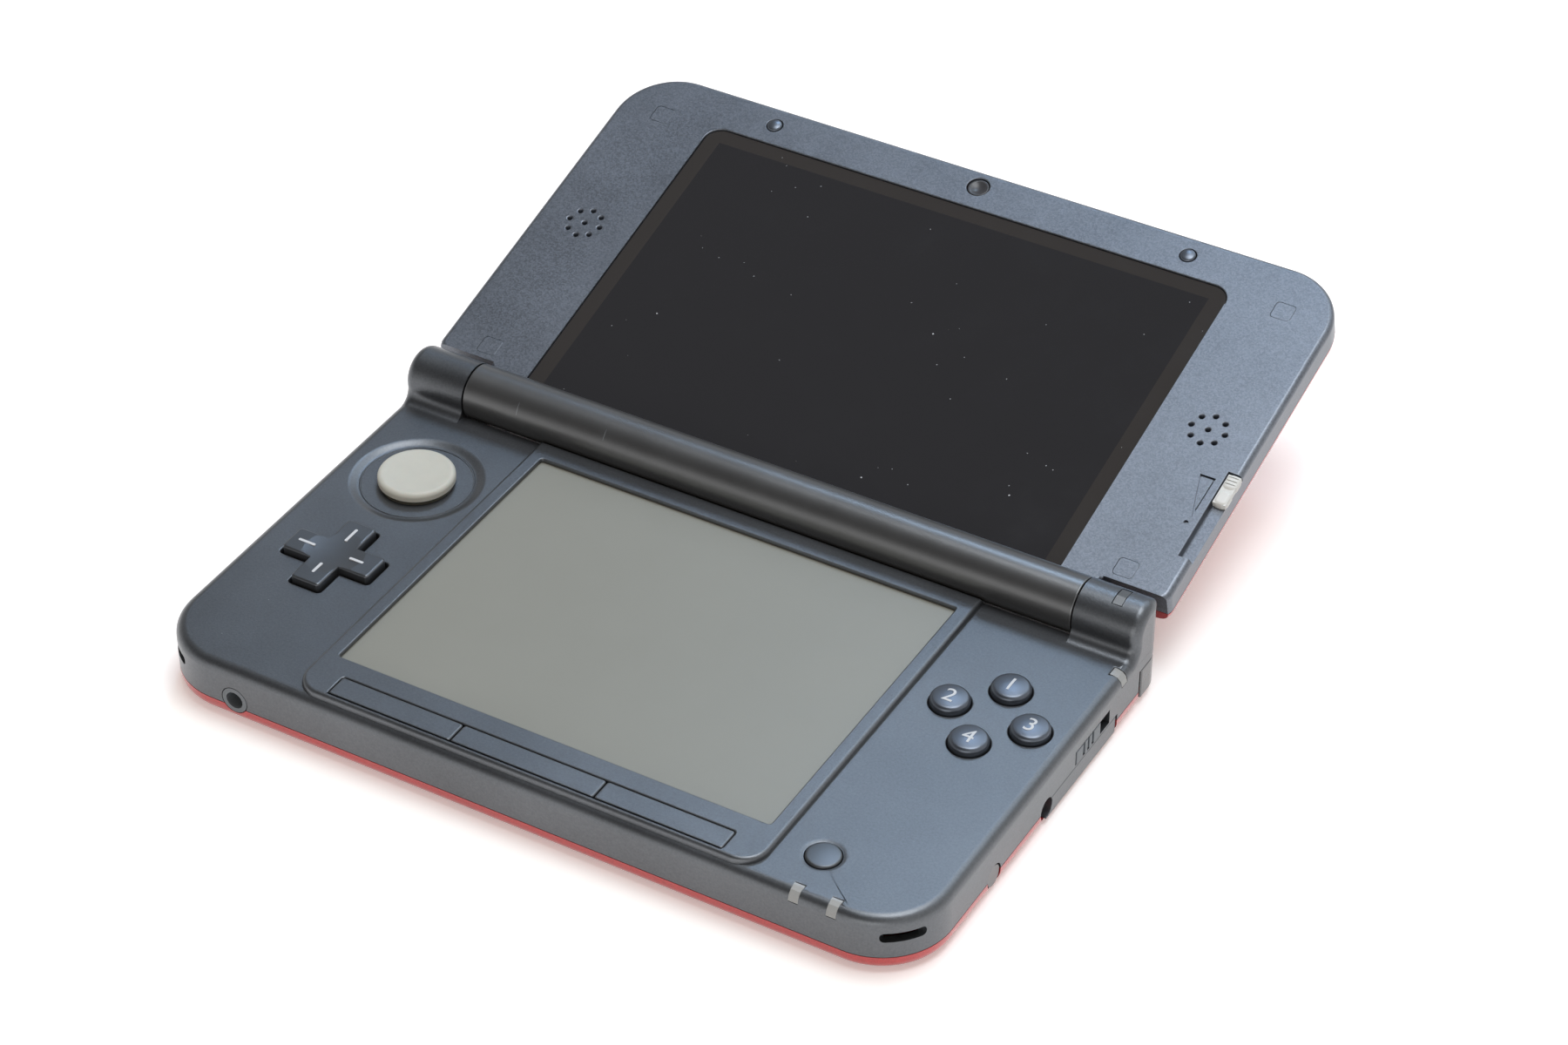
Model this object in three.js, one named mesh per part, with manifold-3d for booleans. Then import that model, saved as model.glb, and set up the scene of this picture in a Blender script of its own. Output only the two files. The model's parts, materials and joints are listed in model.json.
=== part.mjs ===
// Clamshell handheld game console, open with its lid lying back
// Millimetres, +Z up, +Y towards the hinge, origin at the centre of the underside of the base
import * as THREE from "three";
import { mergeVertices } from "three/addons/utils/BufferGeometryUtils.js";
import Module from "manifold-3d";

const wasm = await Module();
wasm.setup();

// Clearances, seams and overruns
const gap = 0.3;
const seam = 0.15;
const pressRoom = 0.12;
const overrun = 1;
const mergeDistance = 0.0001;

// Steps and sides of round shapes
const cornerSteps = 4;
const edgeSteps = 3;
const barrelSides = 48;
const buttonSides = 28;
const pegSides = 14;
const holeSides = 8;
const padSides = 32;

// Shells of the base, in plan
const screenHalfWidth = 44.1;
const screenFront = -34.9;
const screenRear = 31.5;
const screenCornerRadius = 0.6;
const frameBorder = 3;
const frameCornerRadius = 5;
const frameRound = 0.8;
const frameRearRadius = 1.2;
const sideDeckWidth = 30.9;
const frontBorder = 11.6;
const rearBorder = 15;
const frontCornerRadius = 13.5;
const rearCornerRadius = 5;
const baseWall = 1.6;
const frameHalfWidth = screenHalfWidth + frameBorder;
const halfWidth = frameHalfWidth + sideDeckWidth;
const baseFront = screenFront - frontBorder;
const baseRear = screenRear + rearBorder;
const frameFrontInset = 1.3;
const frameFront = baseFront + frameFrontInset;

// Layers of the base, from the table up
const floorThickness = 1.2;
const batteryThickness = 4.3;
const trayThickness = 0.6;
const boardThickness = 0.6;
const componentSpace = 0.9;
const lowerDisplayThickness = 2.6;
const touchPanelThickness = 1;
const lipThickness = 0.7;
const frameRise = 1.2;
const deckThickness = 1.6;
const deckRound = 2;
const partingHeight = 3.7;
const coverRoundHeight = 2.6;
const coverRoundInset = 4;
const coverWall = 1.8;
const bayLow = floorThickness + gap;
const trayLow = bayLow + batteryThickness + gap;
const boardLow = trayLow + trayThickness + gap;
const boardTop = boardLow + boardThickness;
const lowerDisplayLow = boardTop + componentSpace;
const lowerDisplayTop = lowerDisplayLow + lowerDisplayThickness;
const touchPanelLow = lowerDisplayTop + gap;
const touchPanelTop = touchPanelLow + touchPanelThickness;
const lipLow = touchPanelTop + gap;
const frameTop = lipLow + lipThickness;
const deckTop = frameTop - frameRise;
const deckLow = deckTop - deckThickness;

// Hinge
const barrelRadius = 5.4;
const knuckleWidth = 13.3;
const hingeRise = 3.22;
const knuckleFillet = 2.2;
const knuckleEndRound = 2;
const troughGap = 0.4;
const troughWall = 1.2;
const hingePinRadius = 3;
const hingePinBore = 1.9;
const hingePinReach = 7;
const hingePinInset = 2.2;
const hingeY = baseRear - barrelRadius;
const hingeZ = deckTop + hingeRise;
const barrelHalfLength = halfWidth - knuckleWidth;
const troughRadius = barrelRadius + troughGap;
const ledgeTop = hingeZ - troughRadius;
const ledgeLow = ledgeTop - troughWall;
const knuckleInner = barrelHalfLength + seam;

// Buttons and keys on the deck
const flangeThickness = 1;
const flangeLip = 0.75;
const capRound = 0.8;
const buttonClearance = 0.2;
const faceButtonRadius = 3.65;
const faceButtonRise = 1.8;
const faceButtonTravel = 0.8;
const faceSpread = 7.9;
const faceCentreInset = 15.4;
const faceCentreY = 9.2;
const powerButtonRadius = 3.2;
const powerButtonRise = 0.25;
const powerButtonInset = 23.1;
const powerButtonFromFront = 10.7;
const menuTravel = 0.4;
const menuDepth = 5;
const menuFromFront = 2.3;
const menuSideInset = 4;
const menuCentreWidth = 29.2;
const menuCornerRadius = 0.7;
const menuLip = 0.5;
const membraneMargin = 1;
const flangeTop = deckLow - gap;
const flangeLow = flangeTop - flangeThickness;
const faceCentreX = halfWidth - faceCentreInset;
const powerButtonX = halfWidth - powerButtonInset;
const powerButtonY = baseFront + powerButtonFromFront;
const menuOuterWidth = screenHalfWidth - menuSideInset - menuCentreWidth / 2;
const membraneLow = boardTop + gap;

// Circle pad
const padCentreInset = 16.5;
const padCentreY = 15.5;
const padCapRadius = 7.35;
const padDishRadius = 10.85;
const padDishDepth = 0.8;
const padDishSlopeWidth = 2.1;
const padDishSlopeDepth = 0.3;
const padRise = 2;
const padHollow = 0.35;
const padStemRadius = 3;
const padSkirtThickness = 0.8;
const padPegRadius = 1.2;
const padEndRoom = 0.1;
const padCapRound = 0.9;
const carriageHalfWidth = 5;
const carriageHalfDepth = 9;
const carriageThickness = 0.7;
const housingHalfWidth = 12.9;
const housingHalfDepth = 12;
const padCentreX = padCentreInset - halfWidth;
const padTravel = (padDishRadius - padCapRadius - padEndRoom) / Math.SQRT2;
const padReach = padDishRadius - padCapRadius - padEndRoom;
const padHoleRadius = padStemRadius + padReach + gap;
const padSkirtRadius = padHoleRadius + padReach + gap;
const padDishFloor = deckTop - padDishDepth;
const padSkirtLow = flangeTop - padSkirtThickness;
const housingTop = padSkirtLow - gap;

// Cross key
const crossCentreInset = 16.5;
const crossCentreY = -11.4;
const crossReach = 9.4;
const crossHalfWidth = 3.1;
const crossRise = 1.4;
const crossRound = 0.5;
const crossClearance = 0.45;
const crossFlangeLip = 0.8;
const crossFlangeThickness = 0.65;
const crossFlangeDrop = 0.85;
const crossPivotRadius = 1.8;
const crossPivotDrop = 0.6;
const crossMembraneThickness = 0.3;
const crossCentreX = crossCentreInset - halfWidth;
const crossFlangeTop = deckLow - crossFlangeDrop;
const crossFlangeLow = crossFlangeTop - crossFlangeThickness;

// Shoulder buttons at the rear corners
const shoulderWidth = 24.6;
const shoulderDepth = 8.3;
const shoulderPivotInset = 3.5;
const shoulderPinRadius = 0.9;
const shoulderTravelRoom = 1;
const shoulderInner = halfWidth - shoulderWidth;
const shoulderFront = baseRear - shoulderDepth;
const shoulderTop = ledgeLow - gap;
const shoulderPivotX = shoulderInner + shoulderPivotInset;
const shoulderPivotY = baseRear - shoulderPivotInset;

// Slide switches in the side walls
const slideFlangeThickness = 1;
const slideFlangeLip = 0.7;
const volumeSlotLength = 16;
const volumeSlotHeight = 2.6;
const volumeSlotY = 6;
const volumeSlotZ = 7.4;
const volumeKnobLength = 7;
const volumeKnobStandOut = 0.6;
const wirelessSlotLength = 13.2;
const wirelessSlotHeight = 3;
const wirelessSlotY = 18.8;
const wirelessSlotZ = 6.9;
const wirelessKnobLength = 9.2;
const wirelessKnobStandOut = 0.1;
const knobRibs = 3;
const knobRibDepth = 0.3;
const knobRibWidth = 0.7;
const knobRibPitch = 1.7;

// Stylus in its bore at the right side
const stylusRadius = 2.1;
const stylusEndRoom = 2.85;
const stylusTipRadius = 0.7;
const stylusTipLength = 5;
const stylusY = -17.9;
const stylusTubeWall = 1;
const nailNotchRadius = 2.2;
const stylusZ = bayLow + stylusRadius;
const stylusBore = stylusRadius + gap;

// Memory card, its socket and its door at the right side
const memoryCardLength = 32;
const memoryCardWidth = 24;
const memoryCardThickness = 2.1;
const memorySocketWall = 0.5;
const memoryCardY = 15;
const doorThickness = 1.4;
const doorMargin = 1.5;
const doorHeight = 3.6;
const doorLow = 1.3;
const doorInner = halfWidth - doorThickness;
const doorFront = memoryCardY - memoryCardWidth / 2 - doorMargin;
const doorRear = memoryCardY + memoryCardWidth / 2 + doorMargin;
const doorTop = doorLow + doorHeight;

// Game card socket at the rear
const gameSlotHalfWidth = 17;
const gameSlotHeight = 4.6;
const gameSlotDepth = 33;
const gameSocketWall = 0.5;
const gameSocketSideWall = 1.5;
const gameSocketTop = ledgeLow - gap;
const gameSlotTop = gameSocketTop - gameSocketWall;
const gameSlotLow = gameSlotTop - gameSlotHeight;
const gameSocketLow = gameSlotLow - gameSocketWall;
const gameSocketHalfWidth = gameSlotHalfWidth + gameSocketSideWall;
const gameSocketFront = baseRear - gameSlotDepth - gameSocketSideWall;

// Other pieces in the base
const jackInset = 18.9;
const jackRadius = 2.6;
const jackBore = 1.75;
const jackLength = 8.5;
const jackRise = 1.4;
const inletX = 32;
const inletWidth = 10;
const inletHeight = 4.2;
const inletDepth = 9;
const inletSlotWidth = 7.4;
const inletSlotHeight = 2.6;
const inletSlotDepth = 6;
const inletPinWidth = 5;
const inletPinHeight = 0.8;
const infraredX = -36;
const infraredWidth = 8;
const infraredHeight = 3;
const infraredDepth = 2.2;
const batteryWidth = 45;
const batteryDepth = 37;
const batteryLeftInset = 12;
const batteryFrontInset = 10.5;
const batteryRim = 1;
const coverScrewInset = 34;
const coverScrewFromRear = 15.5;
const screwHeadRadius = 2.2;
const screwHeadHeight = 0.7;
const screwHeadRecess = 0.2;
const screwShankRadius = 0.9;
const screwShankLength = 4.2;
const screwSlotWidth = 0.6;
const screwSlotDepth = 0.35;
const bossWall = 1;
const strapSlotWidth = 8.2;
const strapSlotHeight = 2;
const strapSlotDepth = 4;
const strapSlotZ = 8.1;
const pipeWidth = 2;
const pipeReach = 2.5;
const pipeDrop = 2.1;
const pipeFrontInset = 22.9;
const pipePitch = 7.2;
const pipeSideY = 31;
const noticeInset = 6;
const noticeWidth = 1.8;
const noticeLength = 4.4;
const noticeThickness = 1;
const panelBorder = 1.9;
const displayInset = 1;
const boardSideInset = 4;
const boardFrontInset = 3.4;
const boardRearInset = 13;
const jackX = jackInset - halfWidth;
const jackZ = partingHeight + jackRise;
const pipeFrontX = halfWidth - pipeFrontInset;
const noticeX = halfWidth - noticeInset;
const inletTop = ledgeLow - gap;
const coverScrewX = halfWidth - coverScrewInset;
const coverScrewY = baseRear - coverScrewFromRear;
const batteryLeft = batteryLeftInset - halfWidth;
const batteryFront = baseFront + batteryFrontInset;
const batteryRight = batteryLeft + batteryWidth;
const stylusLength = halfWidth - seam - (batteryRight + stylusEndRoom);
const traySide = halfWidth - baseWall - slideFlangeThickness - 2 * gap;

// Lid, in its own plane: Y runs from the hinge axis to the far edge, Z out of its inner face
const lidAngleDegrees = 14.68;
const lidLength = 87.4;
const lidThickness = 7.3;
const bezelRise = 0.7;
const lidFarCornerRadius = 12.5;
const lidNearCornerRadius = 2.8;
const bezelThickness = 2.2;
const bezelRound = 1.2;
const lidWall = 1.4;
const lidSideHeight = 4.8;
const outerCoverThickness = 1.2;
const outerCoverRoundInset = 2.5;
const lidNear = barrelRadius + gap;
const lidOuter = bezelRise - lidThickness;
const lidParting = bezelRise - lidSideHeight;
const bezelLow = bezelRise - bezelThickness;
const outerCoverTop = lidParting - seam;
const outerCoverFloor = lidOuter + outerCoverThickness;
const bridgeDepth = 4.3;
const bridgeLow = bezelRise - bridgeDepth;

// Pieces of the lid
const glassSideBorder = 21;
const glassFarBorder = 9.6;
const glassRecess = 0.4;
const glassThickness = 0.8;
const glassCornerRadius = 3.5;
const glassNearCornerRadius = 0.8;
const glassLedge = 2.5;
const upperDisplayThickness = 2.2;
const upperDisplayMargin = 1;
const speakerInset = 10.5;
const speakerFromFar = 42.3;
const speakerRadius = 5.6;
const speakerThickness = 2.6;
const speakerHoleRadius = 0.5;
const speakerRingRadius = 3.4;
const speakerRingHoles = 8;
const lensFromFar = 4.2;
const lensRadius = 2.15;
const lensRecess = 0.25;
const cameraHalfWidth = 3.4;
const cameraHalfDepth = 2.4;
const cameraDepth = 3;
const outerLensSpacing = 35;
const outerLensFromFar = 7.4;
const outerLensRadius = 2.4;
const outerLensProud = 0.1;
const outerCameraDepth = 3.2;
const bumperInset = 32.6;
const bumperFromFar = 4.8;
const bumperRadius = 1.55;
const bumperHeight = 0.5;
const inlayDepth = 1;
const screwCoverHalf = 2;
const screwCoverRadius = 0.8;
const screwCoverInset = 10;
const screwCoverNearY = 10.15;
const screwCoverFromFar = 10.8;
const ribbonCentreX = 43;
const ribbonWidth = 18;
const ribbonThickness = 0.4;
const ribbonDrop = 2.4;
const depthSlotNear = 16.5;
const depthSlotFar = 37.6;
const depthSlotWidth = 2.2;
const depthSlotDepth = 2.2;
const depthKnobLength = 7.4;
const depthKnobProud = 0.25;
const depthKnobRibs = 2;
const depthRibPitch = 2.8;
const depthRibWidth = 1;
const depthRibDepth = 0.3;
const glassHalfWidth = halfWidth - glassSideBorder;
const glassFar = lidLength - glassFarBorder;
const speakerX = halfWidth - speakerInset;
const speakerY = lidLength - speakerFromFar;
const lensY = lidLength - lensFromFar;
const outerLensY = lidLength - outerLensFromFar;
const bumperX = halfWidth - bumperInset;
const bumperY = lidLength - bumperFromFar;
const screwCoverX = halfWidth - screwCoverInset;
const screwCoverFarY = lidLength - screwCoverFromFar;
const glassTop = bezelRise - glassRecess;
const glassLow = glassTop - glassThickness;

// Finishes: colour, roughness and metalness
const finishes = {
  deckPlastic: { color: "#2b2f37", roughness: 0.45, metalness: 0 },
  redCover: { color: "#a3202b", roughness: 0.3, metalness: 0.3 },
  trayPlastic: { color: "#1d1e20", roughness: 0.6, metalness: 0 },
  touchGlass: { color: "#6d716b", roughness: 0.25, metalness: 0 },
  lowerDisplayMetal: { color: "#8b8f8c", roughness: 0.4, metalness: 0.4 },
  boardLaminate: { color: "#1f5a3a", roughness: 0.5, metalness: 0.1 },
  batteryWrap: { color: "#3b3d40", roughness: 0.5, metalness: 0 },
  jackPlastic: { color: "#161719", roughness: 0.4, metalness: 0 },
  socketPlastic: { color: "#26272a", roughness: 0.5, metalness: 0.2 },
  pressedSheet: { color: "#b9bcc0", roughness: 0.35, metalness: 0.8 },
  cardPlastic: { color: "#20304d", roughness: 0.5, metalness: 0 },
  inletPlastic: { color: "#202124", roughness: 0.4, metalness: 0 },
  filterPlastic: { color: "#241318", roughness: 0.15, metalness: 0 },
  pipePlastic: { color: "#8d9295", roughness: 0.35, metalness: 0 },
  hingeSteel: { color: "#8f9296", roughness: 0.35, metalness: 0.9 },
  screwSteel: { color: "#9a9da1", roughness: 0.3, metalness: 0.9 },
  buttonPlastic: { color: "#34383f", roughness: 0.35, metalness: 0 },
  powerPlastic: { color: "#34383f", roughness: 0.4, metalness: 0 },
  siliconeRubber: { color: "#8a8d8f", roughness: 0.8, metalness: 0 },
  housingPlastic: { color: "#2a2c30", roughness: 0.5, metalness: 0 },
  carriagePlastic: { color: "#55585c", roughness: 0.5, metalness: 0 },
  padRubber: { color: "#a9aca6", roughness: 0.55, metalness: 0 },
  crossPlastic: { color: "#22242a", roughness: 0.35, metalness: 0 },
  pivotRubber: { color: "#6f7376", roughness: 0.6, metalness: 0 },
  shoulderPlastic: { color: "#1f2126", roughness: 0.3, metalness: 0 },
  switchPlastic: { color: "#6d7378", roughness: 0.45, metalness: 0 },
  stylusPlastic: { color: "#191a1d", roughness: 0.4, metalness: 0 },
  bezelPlastic: { color: "#4a5361", roughness: 0.4, metalness: 0.1 },
  upperGlass: { color: "#141416", roughness: 0.12, metalness: 0 },
  upperDisplayMetal: { color: "#26272b", roughness: 0.4, metalness: 0.4 },
  speakerMetal: { color: "#3a3b3e", roughness: 0.5, metalness: 0.3 },
  outerLens: { color: "#101113", roughness: 0.1, metalness: 0 },
  bumperPlastic: { color: "#2c3038", roughness: 0.25, metalness: 0 },
  innerLens: { color: "#141517", roughness: 0.15, metalness: 0 },
  screwCoverPlastic: { color: "#454d5a", roughness: 0.6, metalness: 0 },
  flexFilm: { color: "#b07a35", roughness: 0.4, metalness: 0.1 },
  sliderPlastic: { color: "#c9cbca", roughness: 0.5, metalness: 0 },
};

const quarterTurn = Math.PI / 2;
const lidAngle = THREE.MathUtils.degToRad(lidAngleDegrees);
const reach = 2 * halfWidth + 2 * lidLength;

// Solids and booleans

function solid(geometry) {
  geometry.deleteAttribute("normal");
  geometry.deleteAttribute("uv");
  const merged = mergeVertices(geometry, mergeDistance);
  const corners = merged.index.array;
  const kept = [];
  for (let i = 0; i < corners.length; i += 3) {
    const [a, b, c] = [corners[i], corners[i + 1], corners[i + 2]];
    if (a !== b && b !== c && c !== a) kept.push(a, b, c);
  }
  const vertProperties = new Float32Array(merged.attributes.position.array);
  return new wasm.Manifold(new wasm.Mesh({ numProp: 3, vertProperties, triVerts: new Uint32Array(kept) }));
}

function geometryOf(body) {
  const mesh = body.getMesh();
  const geometry = new THREE.BufferGeometry();
  geometry.setAttribute("position", new THREE.BufferAttribute(new Float32Array(mesh.vertProperties), 3));
  geometry.setIndex(new THREE.BufferAttribute(new Uint32Array(mesh.triVerts), 1));
  geometry.computeVertexNormals();
  return geometry;
}

function join(first, ...others) {
  return others.reduce((body, other) => body.add(other), first);
}

function cut(first, ...others) {
  return others.reduce((body, other) => body.subtract(other), first);
}

function box(left, right, front, rear, low, high) {
  const geometry = new THREE.BoxGeometry(right - left, rear - front, high - low);
  geometry.translate((left + right) / 2, (front + rear) / 2, (low + high) / 2);
  return solid(geometry);
}

function centredBox(x, y, width, depth, low, high) {
  return box(x - width / 2, x + width / 2, y - depth / 2, y + depth / 2, low, high);
}

// An outline raised from one height to another, with both its edges rounded where a round is given
function slab(outline, low, high, roundHeight = 0, roundInset = roundHeight) {
  const geometry = new THREE.ExtrudeGeometry(outline, {
    depth: high - low - 2 * roundHeight,
    curveSegments: cornerSteps,
    bevelEnabled: roundHeight > 0,
    bevelThickness: roundHeight,
    bevelSize: roundInset,
    bevelOffset: -roundInset,
    bevelSegments: edgeSteps,
  });
  geometry.translate(0, 0, low + roundHeight);
  return solid(geometry);
}

// The same with only its upper or only its lower edge rounded
function topRoundedSlab(outline, low, high, roundHeight, roundInset = roundHeight) {
  const whole = slab(outline, low - 2 * roundHeight, high, roundHeight, roundInset);
  return cut(whole, box(-reach, reach, -reach, reach, low - reach, low));
}

function bottomRoundedSlab(outline, low, high, roundHeight, roundInset = roundHeight) {
  const whole = slab(outline, low, high + 2 * roundHeight, roundHeight, roundInset);
  return cut(whole, box(-reach, reach, -reach, reach, high, high + reach));
}

function roundedOutline(left, right, front, rear, frontRadius, rearRadius = frontRadius) {
  const outline = new THREE.Shape();
  outline.absarc(right - frontRadius, front + frontRadius, frontRadius, -quarterTurn, 0);
  outline.absarc(right - rearRadius, rear - rearRadius, rearRadius, 0, quarterTurn);
  outline.absarc(left + rearRadius, rear - rearRadius, rearRadius, quarterTurn, 2 * quarterTurn);
  outline.absarc(left + frontRadius, front + frontRadius, frontRadius, 2 * quarterTurn, 3 * quarterTurn);
  outline.closePath();
  return outline;
}

function polygon(points) {
  return new THREE.Shape(points.map(([x, y]) => new THREE.Vector2(x, y)));
}

function drumX(radius, left, right, y, z, sides) {
  const geometry = new THREE.CylinderGeometry(radius, radius, right - left, sides);
  geometry.rotateZ(-quarterTurn);
  geometry.translate((left + right) / 2, y, z);
  return solid(geometry);
}

function drumY(radius, front, rear, x, z, sides) {
  const geometry = new THREE.CylinderGeometry(radius, radius, rear - front, sides);
  geometry.translate(x, (front + rear) / 2, z);
  return solid(geometry);
}

function drumZ(radius, low, high, x, y, sides) {
  const geometry = new THREE.CylinderGeometry(radius, radius, high - low, sides);
  geometry.rotateX(quarterTurn);
  geometry.translate(x, y, (low + high) / 2);
  return solid(geometry);
}

// A profile of radius and height, from the axis up and back to it, turned about a vertical axis
function turned(profile, x, y, sides) {
  const points = profile.map(([radius, height]) => new THREE.Vector2(radius, height));
  const geometry = new THREE.LatheGeometry(points, sides);
  geometry.rotateX(quarterTurn);
  geometry.translate(x, y, 0);
  return solid(geometry);
}

// An outline drawn in Y and Z, extruded along X with rounded ends
function prismX(outline, left, right, round) {
  const geometry = new THREE.ExtrudeGeometry(outline, {
    depth: right - left - 2 * round,
    curveSegments: cornerSteps,
    bevelEnabled: round > 0,
    bevelThickness: round,
    bevelSize: round,
    bevelOffset: -round,
    bevelSegments: edgeSteps,
  });
  geometry.translate(0, 0, left + round);
  const turn = new THREE.Matrix4().makeBasis(
    new THREE.Vector3(0, 1, 0),
    new THREE.Vector3(0, 0, 1),
    new THREE.Vector3(1, 0, 0),
  );
  geometry.applyMatrix4(turn);
  return solid(geometry);
}

function mirroredX(body) {
  const geometry = geometryOf(body);
  geometry.applyMatrix4(new THREE.Matrix4().makeScale(-1, 1, 1));
  const corners = geometry.index.array;
  for (let i = 0; i < corners.length; i += 3) {
    [corners[i], corners[i + 1]] = [corners[i + 1], corners[i]];
  }
  return solid(geometry);
}

function crossOutline(reachOut, half) {
  return polygon([
    [-half, -reachOut], [half, -reachOut], [half, -half], [reachOut, -half],
    [reachOut, half], [half, half], [half, reachOut], [-half, reachOut],
    [-half, half], [-reachOut, half], [-reachOut, -half], [-half, -half],
  ].map(([x, y]) => [crossCentreX + x, crossCentreY + y]));
}

// The group that is exported, and the lid inside it

const model = new THREE.Group();
const lid = new THREE.Group();
lid.position.set(0, hingeY, hingeZ);
lid.rotation.x = lidAngle;
model.add(lid);

function piece(name, body, finish, parent = model) {
  const mesh = new THREE.Mesh(geometryOf(body), new THREE.MeshStandardMaterial(finish));
  mesh.name = name;
  parent.add(mesh);
}

function lidPiece(name, body, finish) {
  piece(name, body, finish, lid);
}

// Outlines and cutters that the shells of the base share

function baseOutline(inset = 0) {
  return roundedOutline(
    inset - halfWidth,
    halfWidth - inset,
    baseFront + inset,
    baseRear - inset,
    frontCornerRadius - inset,
    rearCornerRadius - inset,
  );
}

function menuSpans() {
  const inner = menuCentreWidth / 2;
  const outer = inner + menuOuterWidth;
  return [["select_button", -outer, -inner], ["home_button", -inner, inner], ["start_button", inner, outer]];
}

function menuOutline(left, right, margin) {
  const front = baseFront + menuFromFront - margin;
  const rear = baseFront + menuFromFront + menuDepth + margin;
  return roundedOutline(left - margin, right + margin, front, rear, menuCornerRadius);
}

function facePlaces() {
  return [
    ["face_button_rear", faceCentreX, faceCentreY + faceSpread],
    ["face_button_left", faceCentreX - faceSpread, faceCentreY],
    ["face_button_right", faceCentreX + faceSpread, faceCentreY],
    ["face_button_front", faceCentreX, faceCentreY - faceSpread],
  ];
}

function knuckleBlock() {
  const filletZ = deckTop + knuckleFillet;
  const centreDistance = barrelRadius + knuckleFillet;
  const drop = hingeZ - filletZ;
  const filletY = hingeY - Math.sqrt(centreDistance * centreDistance - drop * drop);
  const towardsBarrel = Math.atan2(drop, hingeY - filletY);
  const foot = deckLow - 2 * knuckleEndRound;
  const outline = new THREE.Shape();
  outline.moveTo(filletY, foot);
  outline.lineTo(filletY, deckTop);
  outline.absarc(filletY, filletZ, knuckleFillet, -quarterTurn, towardsBarrel, false);
  outline.absarc(hingeY, hingeZ, barrelRadius, towardsBarrel + 2 * quarterTurn, 0, true);
  outline.lineTo(baseRear, foot);
  outline.closePath();
  const body = prismX(outline, knuckleInner - 2 * knuckleEndRound, halfWidth, knuckleEndRound);
  return cut(body, box(-reach, knuckleInner, -reach, reach, -reach, reach));
}

function shoulderPocket(margin, frontRoom) {
  const left = shoulderInner - margin;
  const front = shoulderFront - frontRoom;
  return box(left, halfWidth + overrun, front, baseRear + overrun, bayLow - margin, ledgeLow);
}

function strapSlot() {
  const geometry = new THREE.BoxGeometry(strapSlotWidth, strapSlotDepth, strapSlotHeight);
  geometry.rotateZ(quarterTurn / 2);
  const reachOut = frontCornerRadius / Math.SQRT2;
  const x = halfWidth - frontCornerRadius + reachOut;
  geometry.translate(x, baseFront + frontCornerRadius - reachOut, strapSlotZ);
  return solid(geometry);
}

function lightPipeBox(x, margin) {
  const half = pipeWidth / 2 + margin;
  const front = baseFront - margin;
  const rear = front + pipeReach + 2 * margin;
  return box(x - half, x + half, front, rear, deckTop - pipeDrop - margin, deckTop + overrun);
}

function sidePipeBox(margin) {
  const left = halfWidth - pipeReach - margin;
  const half = pipeWidth / 2 + margin;
  const low = deckTop - pipeDrop - margin;
  return box(left, halfWidth + margin, pipeSideY - half, pipeSideY + half, low, deckTop + overrun);
}

function noticeBox(margin) {
  const low = hingeZ + barrelRadius - noticeThickness - margin;
  const width = noticeWidth + 2 * margin;
  return centredBox(noticeX, hingeY, width, noticeLength + 2 * margin, low, hingeZ + barrelRadius + overrun);
}

function doorWindow(margin) {
  const left = doorInner - overrun;
  const right = halfWidth + overrun;
  return box(left, right, doorFront - margin, doorRear + margin, doorLow - margin, doorTop + margin);
}

function gameSlotWindow() {
  const front = baseRear - baseWall - overrun;
  const margin = gap;
  const side = gameSocketHalfWidth + margin;
  return box(-side, side, front, baseRear + overrun, gameSocketLow - margin, gameSocketTop + margin / 2);
}

function inletWindow() {
  const front = baseRear - baseWall - overrun;
  const low = inletTop - inletHeight - gap;
  const half = inletWidth / 2 + gap;
  return box(inletX - half, inletX + half, front, baseRear + overrun, low, ledgeLow);
}

function infraredWindow(margin) {
  const low = inletTop - inletHeight / 2 - infraredHeight / 2;
  const front = baseRear - infraredDepth - overrun;
  const high = low + infraredHeight + margin;
  const half = infraredWidth / 2 + margin;
  return box(infraredX - half, infraredX + half, front, baseRear + overrun, low - margin, high);
}

function stylusBoreCut() {
  const inner = halfWidth - 2 * baseWall - overrun;
  return drumX(stylusBore, inner, halfWidth + overrun, stylusY, stylusZ, pegSides);
}

function jackCut() {
  const rear = baseFront + jackLength + gap;
  return drumY(jackRadius + gap, baseFront - overrun, rear, jackX, jackZ, buttonSides);
}

function jackRoom() {
  const half = jackRadius + gap;
  return box(jackX - half, jackX + half, baseFront, baseFront + jackLength + gap, 0, deckLow);
}

function gameSocketRoom() {
  const side = gameSocketHalfWidth + gap;
  return box(-side, side, gameSocketFront - gap, baseRear, 0, deckLow);
}

function padDish() {
  return turned([
    [0, padDishFloor],
    [padDishRadius, padDishFloor],
    [padDishRadius, deckTop - padDishSlopeDepth],
    [padDishRadius + padDishSlopeWidth, deckTop],
    [padDishRadius + padDishSlopeWidth, deckTop + overrun],
    [0, deckTop + overrun],
  ], padCentreX, padCentreY, padSides);
}

function throughDeck(radius, x, y, sides) {
  return drumZ(radius, deckLow - overrun, frameTop + overrun, x, y, sides);
}

// Base: the top shell with the touch screen's frame, side walls, knuckles and hinge trough

function touchScreenFrame() {
  const side = frameHalfWidth;
  const outline = roundedOutline(-side, side, frameFront, hingeY, frameCornerRadius, frameRearRadius);
  return slab(outline, deckLow, frameTop, frameRound);
}

function panelPocket(high) {
  const side = screenHalfWidth + panelBorder + gap;
  const front = screenFront - panelBorder - gap;
  return box(-side, side, front, screenRear + panelBorder + gap, deckLow - overrun, high);
}

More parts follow.
